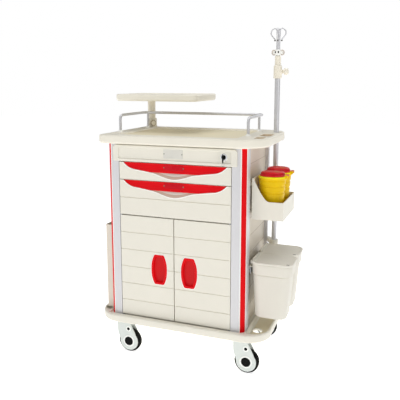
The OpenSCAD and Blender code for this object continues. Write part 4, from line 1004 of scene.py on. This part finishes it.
# ------------------------------------------------------------------ waste bins
for nm, ya, yb in (("front", 34, 164), ("rear", 172, 302)):
    def sec(z, o=0.0):
        t = (z - 240) / 208.0
        return (324 - 10 * t + o, 452 + 16 * t - o, ya + 12 - 8 * t + o, yb - 12 + 8 * t - o, 30 + 2 * t - o, z)
    m = Mesh()
    rows = [sec(240, 7), sec(240.7, 3.5), sec(242.6, 1.2), sec(246, 0)]
    rows += [sec(300, 0), sec(360, 0), sec(414, 0), sec(416.5, 0.6), sec(418, 2.0), sec(419.6, 2.2), sec(420.4, 1.6)]
    for o, z in ((3.0, 420.6), (1.6, 421.4), (1.1, 423.4), (0, 452), (0, 459.6), (0.5, 461.2), (1.8, 462), (4.4, 462), (5.6, 461.4), (6.2, 459.5)):
        rows.append((312 + o, 474 - o, ya + o, yb - o, 34 - o, z))
    for z, o in ((452, 3.2), (440, 3), (300, 3), (250, 3), (245, 4), (243.4, 6.5), (243, 10)):
        rows.append(sec(z, o))
    ids = lofted(m, rows, 10)
    m.face(ids[0]); m.face(ids[-1])
    ym = (ya + yb) / 2
    # hook over the hanger and hinge ears
    m.stack(box4(298.2, 318, ya + 30, yb - 30, 1, 3), [(0.5, 439.4), (0, 440), (0, 443.5), (0.5, 444)])
    m.stack(box4(298.2, 301.4, ya + 30, yb - 30, 1, 3), [(0.5, 430), (0, 430.6), (0, 443)])
    for s in (-1, 1):
        y0_, y1_ = (ym + 35, ym + 39) if s > 0 else (ym - 39, ym - 35)
        m.stack(box4(305, 316, y0_, y1_, 1.4, 4), [(1, 456), (0, 457), (0, 467.6), (1, 468.7)])
    piece("waste_bin_" + nm + "_tub", m, BIN, "waste_" + nm, ["waste_bin_" + nm], smooth=34)
    m = Mesh()
    L = lambda o: rr4(315.5 + o, 478 - o, ya - 4 + o, yb + 4 - o, [20 - min(o, 12), 37 - o, 37 - o, 20 - min(o, 12)], 14)
    prof = [(7, 462.5), (3.4, 462.5), (2.4, 463.1), (1.8, 464.2), (1.2, 465.2), (0.2, 465.8), (0, 467), (0, 469.6), (0.5, 471.2), (1.8, 472.2), (6.5, 472.4), (8.6, 472.0), (9.8, 471.0), (11, 470.2), (14, 470.0)]
    m.stack(L, prof, cap0=False, cap1=True)
    m.stack(L, [(7, 462.5), (8, 467.2), (10, 468)], cap0=False, cap1=True)
    # curled back edge
    m.tube([(324, ya - 1, 470.0), (320.5, ya + 4, 471.6), (318.4, ya + 12, 473.0), (317.6, ya + 26, 473.8), (317.4, ym, 474.2), (317.6, yb - 26, 473.8), (318.4, yb - 12, 473.0), (320.5, yb - 4, 471.6), (324, yb + 1, 470.0)], 3.0, 14, rs=[1.6, 2.6, 3.2, 3.6, 3.8, 3.6, 3.2, 2.6, 1.6])
    m.stack(box4(308, 318, ym - 32, ym + 32, 1, 3), [(0.5, 464.5), (0, 465), (0, 467), (0.5, 467.5)])
    m.lathe([(2.0, -34), (2.8, -33.4), (2.8, 33.4), (2.0, 34)], (308, 466, ym), "y", 20)
    m.lathe([(1.2, -38), (1.2, 38)], (308, 466, ym), "y", 14)
    m.cur = 1
    m.stack(lambda o: rr4(452 + o, 464 - o, ya + 6.2 + o, ya + 9.6 - o, [1.5 - min(o, 1)] * 4, 4), [(0, 472.0), (0, 472.75), (0.4, 473.0)])
    piece("waste_lid_" + nm + "_cap", m, [BIN, HUBDARK], "waste_" + nm + "_cap", ["waste_lid_" + nm], smooth=34)


# ------------------------------------------------------------------ file box on the left side
m = Mesh()
BX = lambda o: rr4(-336 + o, -302 - o, 40 + o, 340 - o, [7 - min(o, 5), 3 - min(o, 2), 3 - min(o, 2), 7 - min(o, 5)], 6)
m.stack(BX, [(2.5, 190), (0.8, 190.6), (0, 192.4), (0, 556), (-0.9, 557.2), (-1.2, 559.5), (-0.8, 562), (0.2, 563), (2.0, 563), (2.6, 562.2), (2.6, 195), (4, 193), (6, 192.6)])
slotc = Mesh(); slotc.stack(lambda o: rr4(110 + o, 270 - o, 541 + o, 580 - o, [10 - min(o, 8), 10 - min(o, 8), 1, 1], 6), [(0, -340), (0, -331)], "x")
for y in (90, 290):
    for z in (240, 500):
        m.lathe([(6, 0), (7, 0.6), (7, 16.4)], (y, z, -303), "x", 24)
# the file box in the darker cream: painted shade
piece("file_box_moulding", m, CREAM_IN_SHADOW, "cart", ["side_box"], bevel=0.0, smooth=34, cutters=[slotc])


# ------------------------------------------------------------------ casters
def tangent_outline():
    """Side cheek of the fork in (x from the swivel axis, z): block at the top, disc at the wheel."""
    pts = [(-25, 146), (26, 146), (27.5, 143), (31, 131), (37.5, 120), (46, 106), (54, 92)]
    a = math.radians(50)
    cx, cz, r = 28.0, 51.0, 42.0
    pts = [(-23, 147.5), (24, 147.5), (29, 143), (33, 134), (40, 121), (48.5, 105), (57, 88)]
    arcp = [(cx + r * math.cos(math.radians(t)), cz + r * math.sin(math.radians(t))) for t in range(38, -189, -6)]
    left = [(-17, 66), (-23, 80), (-26.5, 96), (-27, 110), (-27, 142)]
    return pts + arcp + left


CH = list(reversed(tangent_outline()))       # counter-clockwise
# make sure of the direction
_ar = sum(CH[i][0] * CH[(i + 1) % len(CH)][1] - CH[(i + 1) % len(CH)][0] * CH[i][1] for i in range(len(CH)))
if _ar < 0:
    CH = list(reversed(CH))

for nm, px, py in (("fl", -255, 42), ("fr", 273, 42), ("rl", -255, 386), ("rr", 273, 386)):
    m = Mesh()
    for s in (-1, 1):
        prof = [(3.0, 13.2), (0.6, 13.2), (0, 13.8), (0, 15.6), (0.7, 17.0), (2.2, 17.7), (4.6, 18.0)]
        ids = m.loft([[(px + p[0], py + s * y, p[1]) for p in offset(CH, -o)] for o, y in prof])
        m.fill(ids[0]); m.fill(ids[-1])
    # bridge over the wheel
    br = [(-25.6, 147), (24, 147), (28, 142), (32, 132), (34, 124), (30, 112), (16, 108.5), (2, 108), (-10, 104), (-18, 97), (-24.6, 92), (-26, 100)]
    m.loft([[(px + p[0], py + y, p[1]) for p in br] for y in (-14, 14)], True, True, True)
    top = Mesh()
    m.lathe([(8.2, 0), (20, 0), (22.5, 1), (23, 2.2), (21, 3.4), (8.2, 3.4)], (px, py, 145), "z", 40, closed=True)
    # rims round the hub and the pivot screw
    m.cur = 1
    for s in (-1, 1):
        m.lathe([(19.6, 0), (26.6, 0), (26.2, s * 0.9), (24.8, s * 1.7), (22.6, s * 2.0), (20.6, s * 1.7), (19.7, s * 0.9)], (px + 28, 51, py + s * 17.8), "y", 48, closed=True)
        m.lathe([(6.6, 0), (12.2, 0), (11.8, s * 0.7), (10.4, s * 1.2), (8.4, s * 1.2), (6.8, s * 0.7)], (px + 27, 107, py + s * 17.8), "y", 36, closed=True)
    piece("caster_" + nm + "_fork", m, [GREY, WHITE], "swivel_" + nm, ["caster_hood_" + nm], bevel=0.0, smooth=36)
    m = Mesh()
    for s in (-1, 1):
        m.lathe([(19.4, 0), (19.4, s * 1.4), (18.6, s * 2.4), (16.8, s * 3.0), (12, s * 3.2), (11.0, s * 2.6), (9.6, s * 2.4), (4, s * 2.8), (1, s * 2.9)], (px + 28, 51, py + s * 17.6), "y", 48)
        m.lathe([(6.4, 0), (6.4, s * 0.8), (5.6, s * 1.6), (3.6, s * 1.9), (3.0, s * 0.9), (1.0, s * 0.8)], (px + 27, 107, py + s * 17.6), "y", 30)
    piece("caster_" + nm + "_hub_caps", m, HUBDARK, "swivel_" + nm, smooth=40)
    # tyre and wheel core
    m = Mesh()
    h2 = 12.0
    tread = [(38, -h2 + .8), (40, -h2), (45.5, -h2), (47.6, -h2 + .7), (49.4, -h2 + 2.2), (50.5, -h2 + 4.6), (50.95, -h2 + 7.5), (51, -3), (51, 3), (50.95, h2 - 7.5), (50.5, h2 - 4.6), (49.4, h2 - 2.2), (47.6, h2 - .7), (45.5, h2), (40, h2), (38, h2 - .8)]
    core = [(37, h2 - 2.6), (20, h2 - 3.4), (14.6, h2 - 3.2), (13.8, h2 + .6), (6.2, h2 + .6), (6.2, -h2 - .6), (13.8, -h2 - .6), (14.6, -h2 + 3.2), (20, -h2 + 3.4), (37, -h2 + 2.6)]
    full = tread + core
    rings = [[at("y", px + 28 + r * math.cos(2 * math.pi * i / 72), 51 + r * math.sin(2 * math.pi * i / 72), py + y) for i in range(72)] for r, y in full]
    ids = [m.ring(r) for r in rings]
    for k in range(len(ids)):
        m.cur = 0 if k < len(tread) else 1
        m.strip(ids[k], ids[(k + 1) % len(ids)])
    piece("wheel_" + nm + "_tyre", m, [TYRE, HUBDARK], "roller_" + nm, ["wheel_" + nm], smooth=34)
keep("caster_stems", STEEL, 0.6)


# ------------------------------------------------------------------ floor, light and camera
cx, cy = (cad_low.x + cad_high.x) / 2, (cad_low.y + cad_high.y) / 2
fm = material("floor_paper", (250, 250, 250), 0.9, vary=0.004, bump=0.0, vary_scale=2)
_b = [n for n in fm.node_tree.nodes if n.type == "BSDF_PRINCIPLED"][0]
_b.inputs["Emission Color"].default_value = (1.0, 1.0, 1.0, 1)
_b.inputs["Emission Strength"].default_value = 0.70
fm2 = bpy.data.meshes.new("studio_floor")
N = 24
R_ = 14.0
fv = [(cx - R_ + 2 * R_ * i / N, cy - R_ + 2 * R_ * j / N, -0.0005) for j in range(N + 1) for i in range(N + 1)]
ff = [(j * (N + 1) + i, j * (N + 1) + i + 1, (j + 1) * (N + 1) + i + 1, (j + 1) * (N + 1) + i) for j in range(N) for i in range(N)]
fm2.from_pydata(fv, [], ff)
fm2.materials.append(fm)
floor = bpy.data.objects.new("studio_floor", fm2)
bpy.context.scene.collection.objects.link(floor)
floor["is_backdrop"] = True

world = bpy.data.worlds.new("studio")
bpy.context.scene.world = world
world.use_nodes = True
bg = world.node_tree.nodes["Background"]
bg.inputs[0].default_value = (1.0, 1.0, 1.0, 1)
bg.inputs[1].default_value = 0.40
wt = world.node_tree
wout = [n for n in wt.nodes if n.type == "OUTPUT_WORLD"][0]
lit = wt.nodes.new("ShaderNodeBackground")
lit.inputs[0].default_value = (1.0, 1.0, 1.0, 1)
lit.inputs[1].default_value = 1.0
lp = wt.nodes.new("ShaderNodeLightPath")
mixw = wt.nodes.new("ShaderNodeMixShader")
wt.links.new(lp.outputs["Is Camera Ray"], mixw.inputs[0])
wt.links.new(bg.outputs[0], mixw.inputs[1])
wt.links.new(lit.outputs[0], mixw.inputs[2])
wt.links.new(mixw.outputs[0], wout.inputs[0])
wc = wt.nodes.new("ShaderNodeTexCoord")
sx_ = wt.nodes.new("ShaderNodeSeparateXYZ")
wt.links.new(wc.outputs["Generated"], sx_.inputs[0])
rw = wt.nodes.new("ShaderNodeValToRGB")
mw = wt.nodes.new("ShaderNodeMapRange")
mw.inputs["From Min"].default_value, mw.inputs["From Max"].default_value = -1.0, 1.0
wt.links.new(sx_.outputs[0], mw.inputs["Value"])
wt.links.new(mw.outputs["Result"], rw.inputs["Fac"])
el = rw.color_ramp.elements
el[0].position, el[0].color = 0.0, (1, 1, 1, 1)
el[1].position, el[1].color = 1.0, (0.9, 0.9, 0.9, 1)
for pos_, v_ in ((0.20, 1.0), (0.30, 0.42), (0.38, 0.42), (0.46, 1.0), (0.70, 1.0), (0.80, 0.5), (0.88, 0.5)):
    e_ = el.new(pos_)
    e_.color = (v_, v_, v_, 1)
wt.links.new(rw.outputs["Color"], bg.inputs[0])


def area(name, loc, target, size, power, color=(1, 1, 1)):
    d = bpy.data.lights.new(name, "AREA")
    d.shape = "RECTANGLE"
    d.size, d.size_y = size
    d.energy = power
    d.color = color
    o = bpy.data.objects.new(name, d)
    o.location = loc
    o.rotation_mode = "QUATERNION"
    o.rotation_quaternion = (Vector(target) - Vector(loc)).to_track_quat("-Z", "Y")
    bpy.context.scene.collection.objects.link(o)
    return o


area("key_front_left", (-1.9, -2.9, 2.7), (cx, cy, 0.65), (2.2, 2.2), 30)
area("fill_right", (3.1, -1.4, 1.9), (cx, cy, 0.6), (1.8, 2.2), 19)
area("top_soft", (cx, 0.2, 3.6), (cx, cy, 0.6), (2.6, 2.6), 42)
area("rim_back", (1.2, 3.0, 2.4), (cx, cy, 0.8), (2.0, 1.6), 14)

cam_d = bpy.data.cameras.new("camera")
cam = bpy.data.objects.new("camera", cam_d)
bpy.context.scene.collection.objects.link(cam)
bpy.context.scene.camera = cam
cam_d.sensor_width = 36.0
cam_d.sensor_fit = "AUTO"
cam_d.lens = 48.25
cam_d.shift_y = -0.075
cam_d.clip_start, cam_d.clip_end = 0.05, 100
yaw, pitch = math.radians(20.09), math.radians(-9.22)
cam.location = W((819.6, -1931.6, 1165.0))
fwd = Vector((-math.sin(yaw) * math.cos(pitch), math.cos(yaw) * math.cos(pitch), math.sin(pitch)))
cam.rotation_mode = "QUATERNION"
cam.rotation_quaternion = fwd.to_track_quat("-Z", "Y")

vs = bpy.context.scene.view_settings
vs.view_transform = "Standard"
vs.look = "None"
vs.exposure = 0.0
vs.gamma = 1.0

low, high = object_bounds()
